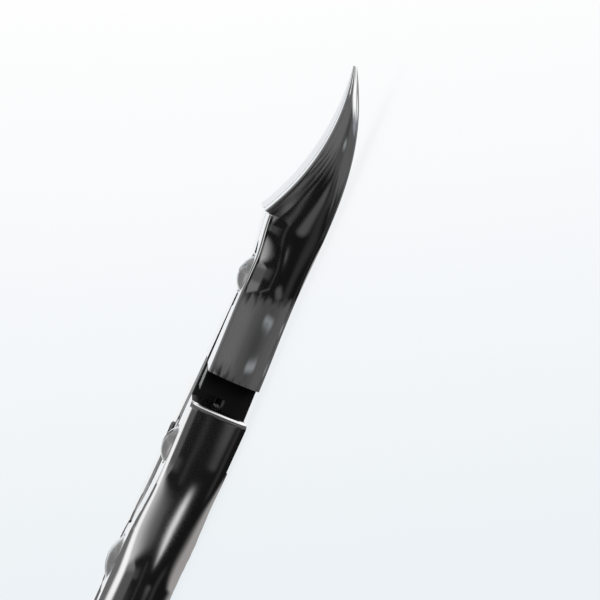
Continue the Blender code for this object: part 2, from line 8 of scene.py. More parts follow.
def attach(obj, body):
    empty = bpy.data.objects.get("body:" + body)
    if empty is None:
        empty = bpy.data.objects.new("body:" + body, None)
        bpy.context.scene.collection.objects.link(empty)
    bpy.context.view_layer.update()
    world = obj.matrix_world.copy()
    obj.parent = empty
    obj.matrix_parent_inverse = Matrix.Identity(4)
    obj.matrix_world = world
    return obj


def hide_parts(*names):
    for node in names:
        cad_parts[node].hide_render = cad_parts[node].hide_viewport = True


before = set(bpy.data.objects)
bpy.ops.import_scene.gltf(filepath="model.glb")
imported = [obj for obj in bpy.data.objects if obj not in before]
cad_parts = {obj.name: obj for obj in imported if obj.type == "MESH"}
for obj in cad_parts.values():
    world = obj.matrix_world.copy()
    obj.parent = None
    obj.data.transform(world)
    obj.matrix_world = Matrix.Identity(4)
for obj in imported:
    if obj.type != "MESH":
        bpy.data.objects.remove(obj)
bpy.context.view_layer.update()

# Double-action nail nippers in polished steel. Every piece is a smooth skin worked out over a grid of
# points, in the same place as the solid that it stands for. +Y runs to the jaws' tip, +X is the opening
# direction and +Z runs along the pivots towards the screw heads.

MM = 0.001

# Lengths along the tool, from the jaw pivot
TIP_REACH = 30.5 * MM
HEEL_REACH = 8.9 * MM
SHOULDER_BACK = 12.6 * MM
LINK_BACK = 23.7 * MM
HANDLE_PIVOT_BACK = 41.8 * MM
HANDLE_LENGTH = 77.0 * MM
LINK_OUT = 6.2 * MM

# Thicknesses along the pivots' axis
PIVOT_THICKNESS = 8.6 * MM
FRONT_THICKNESS = 8.0 * MM
SHANK_THICKNESS = 7.9 * MM
JAW_THICKNESS = 7.1 * MM

# Jaws
EDGE_RADIUS = 32.0 * MM
HEEL_RISE = 1.5 * MM
TIP_HEIGHT = 5.2 * MM
HEEL_HALF = 7.4 * MM
NECK_HALF = 6.1 * MM
SHOULDER_HALF = 10.3 * MM
TIP_HALF = 0.5 * MM
LAND_DIP = 0.3 * MM
HOLLOW_DEPTH = 1.5 * MM
JAW_CROWN = 0.9 * MM
JAW_CORNER = 0.35 * MM
HEEL_STEP = 0.53
NOTCH_RUN = 0.3 * MM
NECK_RUN = 0.8
BACK_START = 0.85
BACK_POWER = 2.7
SIDE_POWER = 3.0
SHOULDER_RUN = 1.15

# Lap joints
JAW_LAP_RADIUS = 4.4 * MM
HANDLE_LAP_RADIUS = 5.0 * MM
TAIL_RADIUS = 2.8 * MM
GUARD_WALL = 1.55 * MM
TAIL_WALL = 3.1 * MM
ROOT_RUN = 3.1 * MM
BEVEL_HEIGHT = 1.45 * MM
BEVEL_RUN = 1.05 * MM
LAP_CHAMFER = 0.12 * MM

# Handles
HANDLE_FRONT = 16.8 * MM
NOSE_ROUND = 0.9 * MM
WAIST_WIDTH = 7.2 * MM
GRIP_WIDTH = 5.8 * MM
END_WIDTH = 4.8 * MM
GRIP_BOW = 9.2 * MM
END_ROUND = 4.0 * MM
ROUND_POWER = 2.3
BOXY_POWER = 6.0
FLAT_CUT = 1.12
HANDLE_CROWN = 0.4 * MM
SHANK_RUN = 0.62
FLARE_RUN = 0.77

# Screws
PIN_RADIUS = 1.5 * MM
HEAD_RADIUS = 2.5 * MM
HEAD_RISE = 1.15 * MM
SUNK_HEAD_RISE = 0.2 * MM
HANDLE_PIN_RADIUS = 1.8 * MM
HANDLE_HEAD_RADIUS = 3.1 * MM
HANDLE_HEAD_RISE = 1.05 * MM
SPOT_DEPTH = 0.45 * MM
SLOT_WIDTH = 0.7 * MM
SLOT_DEPTH = 0.7 * MM
SLOT_SHARE = 0.55
SPRING_PIN_RADIUS = 1.0 * MM
SPRING_HEAD_RADIUS = 2.0 * MM
SPRING_HEAD_RISE = 1.0 * MM
SPRING_PIN_GRIP = 2.6 * MM
HEAD_EDGE = 0.1 * MM

# Leaf springs
LEAF_WIDTH = 5.0 * MM
LEAF_THICKNESS = 0.7 * MM
LEAF_ROOT_BACK = 48.0 * MM
LEAF_TIP_BACK = 18.5 * MM
LEAF_PAD = 8.0 * MM
LEAF_TAIL = 2.2 * MM
LEAF_LAP = 2.4 * MM
LEAF_EDGE = 0.12 * MM
FORK_SLOT = 2.2 * MM

# Clearances
GAP = 0.3 * MM
PIN_GAP = 0.25 * MM
LAP_INSET = 0.1 * MM
SWING_SPARE = math.radians(0.7)
JAW_SWING = math.radians(7.1545)
HANDLE_SWING = math.radians(9.2802)
LINK_SWING = JAW_SWING + HANDLE_SWING
POCKET_SPARE = 1.2 * MM

# Surfaces inside the joints, which take a nearly black steel as painted shade: how far past a lap they
# reach, which share of the thickness they take up, the pale rim left at a handle's outer side, and how
# squarely an end face has to look along the tool
PAST_LAP = GAP * 1.5
JAW_DEEP_SHARE = 0.4
HANDLE_DEEP_SHARE = 0.2
PALE_RIM = 0.7 * MM
SQUARE_ON = 0.9

# Steps of the skins' grids, and the least angle between faces that shows as an edge
JAW_STEPS = 150
NOTCH_STEPS = 14
NECK_STEPS = 120
LAND_STEPS = 14
CORNER_STEPS = 8
FLANK_STEPS = 49
HOLLOW_STEPS = 18
NOSE_STEPS = 21
SHANK_STEPS = 90
GRIP_STEPS = 210
END_STEPS = 20
SECTION_STEPS = 128
DOME_STEPS = 26
ROUND_STEPS = 96
SHARP_DEGREES = 28

# Worked out from the sizes above
MID = PIVOT_THICKNESS / 2
TOOL_LENGTH = TIP_REACH + HANDLE_PIVOT_BACK + HANDLE_LENGTH
JAW_PIVOT_Y = TOOL_LENGTH / 2 - TIP_REACH
HANDLE_PIVOT_Y = JAW_PIVOT_Y - HANDLE_PIVOT_BACK
LINK_Y = JAW_PIVOT_Y - LINK_BACK
SHOULDER_Y = JAW_PIVOT_Y - SHOULDER_BACK
HANDLE_FRONT_Y = JAW_PIVOT_Y - HANDLE_FRONT
BOSS_Y = HANDLE_PIVOT_Y + HANDLE_LAP_RADIUS
HANDLE_END_Y = HANDLE_PIVOT_Y - HANDLE_LENGTH
TIP_Y = JAW_PIVOT_Y + TIP_REACH
HEEL_Y = JAW_PIVOT_Y + HEEL_REACH
FRONT_HALF = LINK_OUT + TAIL_RADIUS + GAP + GUARD_WALL
JAW_BACK_Z = MID - JAW_THICKNESS / 2
JAW_FRONT_Z = MID + JAW_THICKNESS / 2
JAW_SEAT = JAW_FRONT_Z - LAP_INSET - SPOT_DEPTH
LINK_SEAT = MID + SHANK_THICKNESS / 2 - SPOT_DEPTH
HANDLE_SEAT = PIVOT_THICKNESS - LAP_INSET - SPOT_DEPTH
BELOW = -PIVOT_THICKNESS
ABOVE = PIVOT_THICKNESS * 2

# Shape of the handle behind its pivot: share of its length, of the bow and of the way from waist to grip
GRIP_LINE = np.array([
    (0.0, 0.0, 0.0),
    (0.14, 0.15, 0.6),
    (0.36, 0.6, 1.0),
    (0.62, 0.97, 1.0),
    (0.82, 1.0, 1.0),
    (1.0, 0.72, 1.0),
])

# Camera, at the photograph's viewing angle
CAMERA_TURN = math.radians(5)
CAMERA_RISE = math.radians(6)
CAMERA_ROLL = math.radians(24)
CAMERA_AWAY = 260 * MM
PHOTO_WIDTH = 600
PIXELS_PER_METRE = 7600
AIM_POINT = Vector((0, JAW_PIVOT_Y, 8.05 * MM))
AIM_PIXEL = (244.5, 272.5)

# Background, in heights over the distance from the camera
LEVEL_Y = 82.6 * MM
COOL_BELOW = -0.28
WHITE_ABOVE = 0.03

# Floor, in metres and as a share of its own colour shown to the camera
FLOOR_REACH = 8.0
FLOOR_GLOW = 0.92

# Colours
STEEL = (0.62, 0.63, 0.65)
SCREW_STEEL = (0.72, 0.73, 0.75)
SPRING_STEEL = (0.50, 0.51, 0.53)
# Nearly black: painted shade on the surfaces inside the joints
JOINT_SHADE = (0.05, 0.05, 0.052)
COOL = (0.845, 0.888, 0.922)
WHITE = (0.99, 0.99, 0.99)


# Shapes as arrays


def blend(a, b, t):
    """The value a share t of the way from a to b."""
    return a + (b - a) * t


def ease(t):
    """0 to 1 with level ends: 3 t^2 - 2 t^3."""
    t = np.clip(t, 0.0, 1.0)
    return t * t * (3 - 2 * t)


def ease_late(t):
    """0 to 1 with level ends, the far one straight too: 3 t^2 - 2 t^3 going over, with t^3, to
    6 t^5 - 15 t^4 + 10 t^3."""
    t = np.clip(t, 0.0, 1.0)
    return blend(t * t * (3 - 2 * t), t**3 * (t * (6 * t - 15) + 10), t**3)


def through(points, t, column):
    """A smooth curve through one column of points: between each two, a cubic with the mean slopes of the
    neighbours."""
    place, value = points[:, 0], points[:, column]
    slopes = np.empty(len(points))
    slopes[1:-1] = (value[2:] - value[:-2]) / (place[2:] - place[:-2])
    slopes[0] = (value[1] - value[0]) / (place[1] - place[0])
    slopes[-1] = (value[-1] - value[-2]) / (place[-1] - place[-2])
    i = np.clip(np.searchsorted(place, t) - 1, 0, len(points) - 2)
    span = place[i + 1] - place[i]
    u = (t - place[i]) / span
    rise = blend(value[i], value[i + 1], u * u * (3 - 2 * u))
    return rise + span * u * (1 - u) * (slopes[i] * (1 - u) - slopes[i + 1] * u)


def skin(name, grid, mat=None):
    """A closed body over a grid of points: quads between rings, and a fan to the middle of each end ring.
    Its faces are turned outwards by the sign of its volume, the sum of corner triple products."""
    rows, cols = grid.shape[:2]
    ids = np.arange(rows * cols).reshape(rows, cols)
    beside = np.roll(ids, -1, axis=1)
    quads = np.stack([ids[:-1], beside[:-1], beside[1:], ids[1:]], axis=-1).reshape(-1, 4)
    points = np.concatenate([grid.reshape(-1, 3), grid[[0, -1]].mean(axis=1)])
    low, high = rows * cols, rows * cols + 1
    first = np.stack([beside[0], ids[0], np.full(cols, low)], axis=-1)
    last = np.stack([ids[-1], beside[-1], np.full(cols, high)], axis=-1)
    fans = np.concatenate([first, last])
    halves = np.concatenate([quads[:, [0, 1, 2]], quads[:, [0, 2, 3]], fans])
    a, b, c = (points[halves[:, k]] for k in range(3))
    if np.einsum("ij,ij->i", a, np.cross(b, c)).sum() < 0:
        quads = quads[:, ::-1]
        fans = fans[:, ::-1]
    mesh = bpy.data.meshes.new(name)
    mesh.from_pydata(points.tolist(), [], quads.tolist() + fans.tolist())
    if mat:
        mesh.materials.append(mat)
    obj = bpy.data.objects.new(name, mesh)
    bpy.context.scene.collection.objects.link(obj)
    return obj


def circle(x, y, radius, start=0.0, end=360.0, steps=ROUND_STEPS):
    """Points on an arc: centre + radius (cos, sin), with the angles in degrees from +X."""
    turn = np.radians(np.linspace(start, end, steps, endpoint=abs(end - start) < 360))
    return np.stack([x + radius * np.cos(turn), y + radius * np.sin(turn)], axis=-1)


def inset(outline, depth):
    """A closed outline moved inwards by depth along the mean of its two edges' normals."""
    ahead = np.roll(outline, -1, axis=0) - outline
    ahead /= np.linalg.norm(ahead, axis=1, keepdims=True)
    behind = np.roll(ahead, 1, axis=0)
    normal = np.stack([-(ahead + behind)[:, 1], (ahead + behind)[:, 0]], axis=-1)
    normal /= np.maximum(np.linalg.norm(normal, axis=1, keepdims=True), 1e-9)
    x, y = outline.T
    way_round = np.sign(np.sum(x * np.roll(y, -1) - y * np.roll(x, -1)))
    return outline + normal * depth * way_round


def plate(name, outline, low, high, chamfer=0.0):
    """An outline carried from one height to another, with its rims cut back by a small chamfer."""
    rings = [(0.0, low), (0.0, high)]
    if chamfer:
        rings = [(chamfer, low), (0.0, low + chamfer), (0.0, high - chamfer), (chamfer, high)]
    levels = []
    for depth, z in rings:
        ring = inset(outline, depth) if depth else outline
        levels.append(np.column_stack([ring, np.full(len(ring), z)]))
    return skin(name, np.array(levels))


def turned(name, profile, sides=ROUND_STEPS, mat=None):
    """A profile of radius and height turned about Z: (r cos t, r sin t, z)."""
    turn = np.linspace(0, 2 * math.pi, sides, endpoint=False)
    radius, height = np.array(profile).T
    radius = np.maximum(radius, 1e-7)
    grid = np.stack([
        radius[:, None] * np.cos(turn),
        radius[:, None] * np.sin(turn),
        np.repeat(height[:, None], sides, axis=1),
    ], axis=-1)
    return skin(name, grid, mat)


def combine(target, other, operation):
    """Joins another body to the target or cuts it from it, exactly, and clears the other away."""
    mod = target.modifiers.new("cut", "BOOLEAN")
    mod.operation = operation
    mod.solver = "MANIFOLD"
    mod.object = other
    graph = bpy.context.evaluated_depsgraph_get()
    made = bpy.data.meshes.new_from_object(target.evaluated_get(graph))
    target.modifiers.clear()
    old = target.data
    made.name = target.name
    target.data = made
    bpy.data.meshes.remove(old)
    bpy.data.objects.remove(other)


def finish_skin(obj, mat, inside=None, in_shade=None):
    """Smooth shading between the true edges, and a material all over. Faces whose middle x, y, z and normal
    answer to the test given, the surfaces inside the joints, take the inside material, a nearly black steel
    that paints the shade there."""
    mesh = obj.data
    mesh.materials.clear()
    mesh.materials.append(mat)
    marks = np.zeros(len(mesh.polygons), np.int32)
    if inside:
        mesh.materials.append(inside)
        middle = np.empty(len(mesh.polygons) * 3)
        normal = np.empty(len(mesh.polygons) * 3)
        mesh.polygons.foreach_get("center", middle)
        mesh.polygons.foreach_get("normal", normal)
        marks[in_shade(*middle.reshape(-1, 3).T, *normal.reshape(-1, 3).T)] = 1
    mesh.polygons.foreach_set("material_index", marks)
    mesh.shade_smooth()
    mesh.set_sharp_from_angle(angle=math.radians(SHARP_DEGREES))


# Jaws


def edge_height(y):
    """Height of the cutting edge: an arc of EDGE_RADIUS from the heel to the tip, hollow towards +Z."""
    heel = np.array((HEEL_Y, JAW_FRONT_Z + HEEL_RISE))
    tip = np.array((TIP_Y, JAW_BACK_Z + TIP_HEIGHT))
    chord = tip - heel
    length = np.linalg.norm(chord)
    across = np.array((-chord[1], chord[0])) / length
    centre = (tip + heel) / 2 + across * math.sqrt(EDGE_RADIUS**2 - length**2 / 4)
    return centre[1] - np.sqrt(EDGE_RADIUS**2 - (y - centre[0]) ** 2)


def front_height(y):
    """Height of the jaw's front side: the cutting arc, then a rounded step down to the flat neck."""
    behind = HEEL_Y - y
    step = 1 - (1 - HEEL_STEP) * ease(behind / NOTCH_RUN)
    fall = 1 - ease(behind / HEEL_REACH / NECK_RUN)
    return np.where(behind <= 0, edge_height(np.maximum(y, HEEL_Y)), JAW_FRONT_Z + HEEL_RISE * step * fall)


def crown_height(y):
    """Height that the crown is measured to behind the heel: a cubic that leaves the heel along the cutting
    arc's own slope and levels out at the neck."""
    run = HEEL_REACH * NECK_RUN
    t = np.clip((HEEL_Y - y) / run, 0.0, 1.0)
    slope = (edge_height(HEEL_Y) - edge_height(HEEL_Y + LAP_CHAMFER)) / LAP_CHAMFER * run
    return JAW_FRONT_Z + HEEL_RISE * (2 * t**3 - 3 * t**2 + 1) + slope * (t**3 - 2 * t**2 + t)


def back_height(y):
    """Height of the jaw's back: flat at the neck, rising to the tip with a power of the distance."""
    start = HEEL_REACH * BACK_START
    share = np.maximum(y - JAW_PIVOT_Y - start, 0.0) / (TIP_REACH - start)
    return JAW_BACK_Z + (TIP_HEIGHT - TIP_HALF) * share**BACK_POWER


def jaw_half(y):
    """The jaw's outer half width: a power curve from tip to heel, then eased to neck and shoulder."""
    share = np.clip((y - HEEL_Y) / (TIP_Y - HEEL_Y), 0.0, 1.0)
    ahead = blend(HEEL_HALF, TIP_HALF, share**SIDE_POWER)
    neck = blend(NECK_HALF, HEEL_HALF, ease_late((y - JAW_PIVOT_Y) / HEEL_REACH))
    flare = blend(NECK_HALF, SHOULDER_HALF, ease((JAW_PIVOT_Y - y) / (SHOULDER_BACK * SHOULDER_RUN)))
    return np.where(y >= HEEL_Y, ahead, np.where(y >= JAW_PIVOT_Y, neck, flare))


def jaw_inner(y):
    """The jaw's inner side, which leaves the middle behind the pivot so that the tails can swing in."""
    behind = np.maximum(JAW_PIVOT_Y - y, 0.0)
    return GAP / 2 + behind * math.tan(JAW_SWING + SWING_SPARE)


def jaw_skin(side):
    """A jaw over a grid of stations and ring places. The ring runs over the front land, round a corner,
    down the crowned outer side (width + crown 4 s (1 - s)), round a corner, and back by the back and the
    hollow inside."""
    ahead = HEEL_Y + (TIP_Y - HEEL_Y) * np.linspace(1, 0, JAW_STEPS) ** 0.9
    notch = HEEL_Y - NOTCH_RUN * np.linspace(0.05, 1.3, NOTCH_STEPS)
    neck = np.linspace(notch[-1], SHOULDER_Y, NECK_STEPS)[1:]
    y = np.concatenate([ahead, notch, neck])[:, None]
    front, back, half, inner = front_height(y), back_height(y), jaw_half(y), jaw_inner(y)
    tall = front - back
    crown = np.minimum(JAW_CROWN, half * 0.3)
    corner = np.minimum(np.minimum(JAW_CORNER, half * 0.25), tall * 0.2)
    wide = half - crown
    share = (y - HEEL_Y) / (TIP_Y - HEEL_Y)
    hollow = np.where((share > 0) & (share < 1), HOLLOW_DEPTH * np.sin(math.pi * share), 0.0)
    hollow = np.minimum(hollow, (wide - inner) * 0.45)
    dip = np.where(share >= 0, LAND_DIP * half / HEEL_HALF, 0.0)
    dip = np.minimum(dip, tall * 0.25)

    land = np.linspace(0, 1, LAND_STEPS)[None, :]
    bend = np.linspace(0, math.pi / 2, CORNER_STEPS)[None, 1:]
    flank = np.linspace(0, 1, FLANK_STEPS)[None, 1:-1]
    under = np.linspace(0, 1, LAND_STEPS)[None, 1:]
    cave = np.linspace(0, 1, HOLLOW_STEPS)[None, 1:-1]
    full = np.where(share >= 0, front, crown_height(y))
    side_z = blend(front - corner, back + corner, flank)
    up = np.clip((side_z - back) / (full - back), 0.0, 1.0)
    belly = crown * 4 * up * (1 - up)
    over = belly[:, :1] * np.sin(bend)
    below = belly[:, -1:] * np.cos(bend)
    turn = bend - bend[0, 0]
    parts = [
        (blend(inner, wide - corner, land), front - dip * (1 - land)),
        (wide - corner + corner * np.sin(bend) + over, front - corner * (1 - np.cos(bend))),
        (wide + belly, side_z),
        (wide - corner + corner * np.cos(turn) + below, back + corner * (1 - np.sin(turn))),
        (blend(wide - corner, inner + hollow, under), back + 0 * under),
        (inner + hollow * np.cos(cave * math.pi / 2) ** 0.8, back + (tall - dip) * cave),
    ]
    x = np.concatenate([part[0] for part in parts], axis=1)
    z = np.concatenate([part[1] for part in parts], axis=1)
    return np.stack([side * x, np.repeat(y, x.shape[1], axis=1), z], axis=-1)


def tail_outer(y):
    """The tail's outer side, a slope that clears the handle's front end when the tool is open."""
    turn = LINK_SWING + SWING_SPARE
    return LINK_OUT + TAIL_RADIUS / math.cos(turn) - (y - LINK_Y) * math.tan(turn)


def jaw_tail(side, low, high):
    """The plate behind the shoulder that carries the link pivot: a half disc and a neck that clears the
    handle."""
    turn = math.degrees(LINK_SWING + SWING_SPARE)
    start = SHOULDER_Y + TAIL_WALL
    outline = circle(LINK_OUT, LINK_Y, TAIL_RADIUS, -180, turn, 60)
    outline = np.concatenate([outline, [(tail_outer(start), start), (jaw_inner(start) + LAP_INSET, start)]])
    return plate("tail_plate", outline * (side, 1), low, high, LAP_CHAMFER)


def tail_root(side):
    """The tail's full-thickness root, between the shoulder and the handle's front end."""
    start, end = SHOULDER_Y + TAIL_WALL, SHOULDER_Y - ROOT_RUN
    outline = [(tail_outer(end), end), (tail_outer(start), start)]
    outline += [(jaw_inner(start) + LAP_INSET, start), (jaw_inner(end) + LAP_INSET, end)]
    low, high = JAW_BACK_Z + LAP_INSET, JAW_FRONT_Z - LAP_INSET
    return plate("tail_root", np.array(outline) * (side, 1), low, high, LAP_CHAMFER)


def bore(name, x, y, radius, low, high):
    """A round cutter or a round plate on an upright axis."""
    return plate(name, circle(x, y, radius), low, high)


def countersink(name, x, y, radius, seat, top):
    """A round cutter that stands on a seat and widens by a small chamfer where it leaves the body at top."""
    lip = LAP_CHAMFER
    profile = [(0, seat), (radius, seat), (radius, top - lip)]
    profile += [(radius + lip * 3, top + lip * 2), (0, top + lip * 2)]
    cutter = turned(name, profile)
    cutter.data.transform(Matrix.Translation((x, y, 0)))
    return cutter


def jaw_shade_faces(x, y, z, nx, ny, nz):
    """Which faces of a jaw lie inside the joints and take the painted shade: its tail, the back of its
    shoulder and the inner faces of its lap."""
    lap = np.hypot(x, y - JAW_PIVOT_Y) < JAW_LAP_RADIUS + PAST_LAP
    lap &= np.abs(z - MID) < JAW_THICKNESS * JAW_DEEP_SHARE
    back = (ny < -SQUARE_ON) & (y < SHOULDER_Y + LAP_INSET)
    return (y < SHOULDER_Y + 0.01 * MM) | lap | back


def jaw(side, name, mat, inside):
    """One jaw with its lap, tail, holes and spot face."""
    body = skin(name, jaw_skin(side), mat)
    if side > 0:
        low, high = JAW_BACK_Z + LAP_INSET, MID - GAP / 2
        cut_low, cut_high = MID - GAP / 2, ABOVE
    else:
        low, high = MID + GAP / 2, JAW_FRONT_Z - LAP_INSET
        cut_low, cut_high = BELOW, MID + GAP / 2
    combine(body, tail_root(side), "UNION")
    combine(body, jaw_tail(side, low, high), "UNION")
    lap = plate("jaw_lap_plate", circle(0, JAW_PIVOT_Y, JAW_LAP_RADIUS), low, high, LAP_CHAMFER)
    combine(body, lap, "UNION")
    recess = bore("jaw_lap_recess", 0, JAW_PIVOT_Y, JAW_LAP_RADIUS + GAP, cut_low, cut_high)
    combine(body, recess, "DIFFERENCE")
    for x, y in ((0, JAW_PIVOT_Y), (side * LINK_OUT, LINK_Y)):
        combine(body, bore("jaw_hole", x, y, PIN_RADIUS + PIN_GAP, BELOW, ABOVE), "DIFFERENCE")
    if side < 0:
        top = JAW_FRONT_Z - LAP_INSET
        spot = countersink("jaw_spot_face", 0, JAW_PIVOT_Y, HEAD_RADIUS + PIN_GAP, JAW_SEAT, top)
        combine(body, spot, "DIFFERENCE")
    finish_skin(body, mat, inside, jaw_shade_faces)
    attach(body, name)
    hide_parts(name)


# Handles


def handle_sides(y):
    """Inner and outer side of a shut handle at places along it."""
    y = np.asarray(y, float)
    ahead = y - HANDLE_PIVOT_Y
    share = np.clip((y - HANDLE_FRONT_Y) / NOSE_ROUND + 1, 0.0, 1.0)
    nose = NOSE_ROUND * (1 - np.sqrt(1 - (share * 0.97) ** 2))
    inner = GAP / 2 + ahead * math.tan(HANDLE_SWING + SWING_SPARE) + nose * 0.5
    outer = blend(WAIST_WIDTH + GAP / 2, FRONT_HALF, ease(ahead / (HANDLE_PIVOT_BACK - LINK_BACK))) - nose
    share = np.clip(-ahead / HANDLE_LENGTH, 0.0, 1.0)
    bowed = GAP / 2 + GRIP_BOW * through(GRIP_LINE, share, 1)
    grip = blend(GRIP_WIDTH, END_WIDTH, ease((share - 0.6) / 0.4))
    width = blend(WAIST_WIDTH, grip, through(GRIP_LINE, share, 2))
    return np.where(ahead >= 0, inner, bowed), np.where(ahead >= 0, outer, bowed + width)


def handle_thickness(y):
    """Thickness along the pivots' axis: a flared front end, a thinner shank and a full boss and grip."""
    shank = blend(PIVOT_THICKNESS, SHANK_THICKNESS, ease((y - BOSS_Y) / (LINK_Y - BOSS_Y) / SHANK_RUN))
    ahead = (y - LINK_Y) / (HANDLE_FRONT_Y - LINK_Y)
    flare = blend(SHANK_THICKNESS, FRONT_THICKNESS, ease(ahead / FLARE_RUN))
    return np.where(y <= LINK_Y, shank, flare)


def handle_skin(side):
    """A handle over a grid: each section is |x|^p + |z|^p = 1 with its front and back cut flat and its
    outer side crowned by z^2, and p falls from the boxy front end to the round grip. The end closes in a
    quarter circle."""
    front = HANDLE_FRONT_Y - NOSE_ROUND * np.linspace(0, 1, NOSE_STEPS) ** 1.6
    shank = np.linspace(front[-1], HANDLE_PIVOT_Y, SHANK_STEPS)[1:]
    grip = np.linspace(HANDLE_PIVOT_Y, HANDLE_END_Y + END_ROUND, GRIP_STEPS)[1:]
    end = HANDLE_END_Y + END_ROUND * (1 - np.sin(np.linspace(0, math.pi / 2, END_STEPS)))[1:]
    y = np.concatenate([front, shank, grip, end])[:, None]
    inner, outer = handle_sides(y)
    thick = handle_thickness(y)
    left = np.clip((y - HANDLE_END_Y) / END_ROUND, 0.0, 1.0)
    shrink = np.maximum(np.sqrt(1 - (1 - left) ** 2), 0.03)
    boxy = ease((y - HANDLE_PIVOT_Y) / (LINK_Y - HANDLE_PIVOT_Y))
    power = blend(ROUND_POWER, BOXY_POWER, boxy)
    turn = np.linspace(0, 2 * math.pi, SECTION_STEPS, endpoint=False)[None, :]
    c, s = np.cos(turn), np.sin(turn)
    reach = (np.abs(c) ** power + np.abs(s) ** power) ** (-1 / power)
    half_x = (outer - inner) / 2 * shrink
    half_z = thick / 2 * blend(shrink, 1.0, 0.35)
    z = np.clip(half_z * FLAT_CUT * s * reach, -half_z, half_z)
    crown = np.minimum(HANDLE_CROWN, half_x * 0.3) * ease(c / 0.5) * (z / half_z) ** 2
    x = (inner + outer) / 2 + half_x * c * reach - crown
    return np.stack([side * x, np.repeat(y, x.shape[1], axis=1), MID + z], axis=-1)


def tail_pocket(side, low, high):
    """The space that a jaw's tail swings in: a round end about the link pivot, open inwards and forwards."""
    radius = TAIL_RADIUS + GAP
    front = HANDLE_FRONT_Y + POCKET_SPARE
    outline = circle(LINK_OUT, LINK_Y, radius, -90, 0, 24)
    square = [(LINK_OUT + radius, front), (-POCKET_SPARE, front), (-POCKET_SPARE, LINK_Y - radius)]
    return plate("tail_pocket", np.concatenate([outline, square]) * (side, 1), low, high)


def pocket_bevel(side):
    """The slope inside the pocket's outer wall, on the pocket's side of the middle."""
    wall = LINK_OUT + TAIL_RADIUS + GAP
    rim = FRONT_THICKNESS / 2
    outline = [(wall, rim - BEVEL_HEIGHT), (wall + BEVEL_RUN, rim), (wall + BEVEL_RUN, PIVOT_THICKNESS)]
    outline += [(wall - GAP, PIVOT_THICKNESS), (wall - GAP, rim - BEVEL_HEIGHT)]
    ends = (LINK_Y, HANDLE_FRONT_Y + POCKET_SPARE)
    rings = [[(side * x, y, MID - side * z) for x, z in outline] for y in ends]
    return skin("pocket_bevel", np.array(rings))


def handle_shade_faces(x, y, z, nx, ny, nz):
    """Which faces of a handle lie inside the joints and take the painted shade: the front end, the pocket
    without its bevel and the inner faces of the lap. The bevel's faces are the sloping ones, with nz near
    0.5."""
    outer = handle_sides(y)[1]
    deep = np.abs(z - MID) < SHANK_THICKNESS * HANDLE_DEEP_SHARE
    deep &= np.abs(x) < outer - HANDLE_CROWN - PALE_RIM
    deep &= np.abs(np.abs(nz) - 0.5) > 0.2
    front = (y > LINK_Y - TAIL_RADIUS - GAP * 2) & deep
    lap = (np.hypot(x, y - HANDLE_PIVOT_Y) < HANDLE_LAP_RADIUS + PAST_LAP) & deep
    return front | lap | ((ny > SQUARE_ON) & (y > HANDLE_FRONT_Y - LAP_INSET))


def handle(side, name, mat, inside):
    """One handle with its lap, tail pocket, holes and spot faces."""
    body = skin(name, handle_skin(side), mat)
    if side > 0:
        low, high = MID + GAP / 2, PIVOT_THICKNESS - LAP_INSET
        cut_low, cut_high = BELOW, MID + GAP / 2
        spot_low, spot_high = LINK_SEAT, ABOVE
    else:
        low, high = LAP_INSET, MID - GAP / 2
        cut_low, cut_high = MID - GAP / 2, ABOVE
        spot_low, spot_high = BELOW, 2 * MID - LINK_SEAT
    lap = plate("handle_lap_plate", circle(0, HANDLE_PIVOT_Y, HANDLE_LAP_RADIUS), low, high, LAP_CHAMFER)
    combine(body, lap, "UNION")
    recess = bore("handle_lap_recess", 0, HANDLE_PIVOT_Y, HANDLE_LAP_RADIUS + GAP, cut_low, cut_high)
    combine(body, recess, "DIFFERENCE")
    combine(body, tail_pocket(side, cut_low, cut_high), "DIFFERENCE")
    combine(body, pocket_bevel(side), "DIFFERENCE")
    link = (side * LINK_OUT, LINK_Y)
    combine(body, bore("link_hole", *link, PIN_RADIUS + PIN_GAP, BELOW, ABOVE), "DIFFERENCE")
    combine(body, bore("link_spot_face", *link, HEAD_RADIUS + PIN_GAP, spot_low, spot_high), "DIFFERENCE")
    pivot = (0, HANDLE_PIVOT_Y)
    combine(body, bore("handle_hole", *pivot, HANDLE_PIN_RADIUS + PIN_GAP, BELOW, ABOVE), "DIFFERENCE")
    if side > 0:
        top = PIVOT_THICKNESS - LAP_INSET
        spot = countersink("handle_spot_face", *pivot, HANDLE_HEAD_RADIUS + PIN_GAP, HANDLE_SEAT, top)
        combine(body, spot, "DIFFERENCE")
    combine(body, spring_screw_hole(side), "DIFFERENCE")
    finish_skin(body, mat, inside, handle_shade_faces)
    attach(body, name)
    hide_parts(name)


# Screws


def screw_profile(pin, head, rise, low, seat):
    """Half outline of a screw from its end to the top of its head: a spherical dome over a bevelled edge."""
    bevel = pin * 0.2
    under = seat + GAP / 2
    rim = seat + SPOT_DEPTH
    ball = (head**2 + rise**2) / (2 * rise)
    full = math.asin(head / ball)
    turn = full * (1 - np.linspace(0, 1, DOME_STEPS))
    dome = np.stack([ball * np.sin(turn), rim + rise - ball * (1 - np.cos(turn))], axis=-1)
    shank = [(0.0, low), (pin - bevel, low), (pin, low + bevel), (pin, under), (head - HEAD_EDGE, under)]
    shank += [(head, under + HEAD_EDGE)]
    return np.concatenate([shank, dome])


def slot_cutter(head, rise, seat, turn):
    """The bar that cuts a driver slot across a screw head."""
    long = head * 1.4
    half = SLOT_WIDTH / 2
    top = seat + SPOT_DEPTH + rise
    depth = min(SLOT_DEPTH, (SPOT_DEPTH + rise) * SLOT_SHARE)
    outline = np.array([(-long, -half), (long, -half), (long, half), (-long, half)])
    cutter = plate("slot", outline, top - depth, top + depth)
    cutter.data.transform(Matrix.Rotation(turn, 4, "Z"))
    return cutter


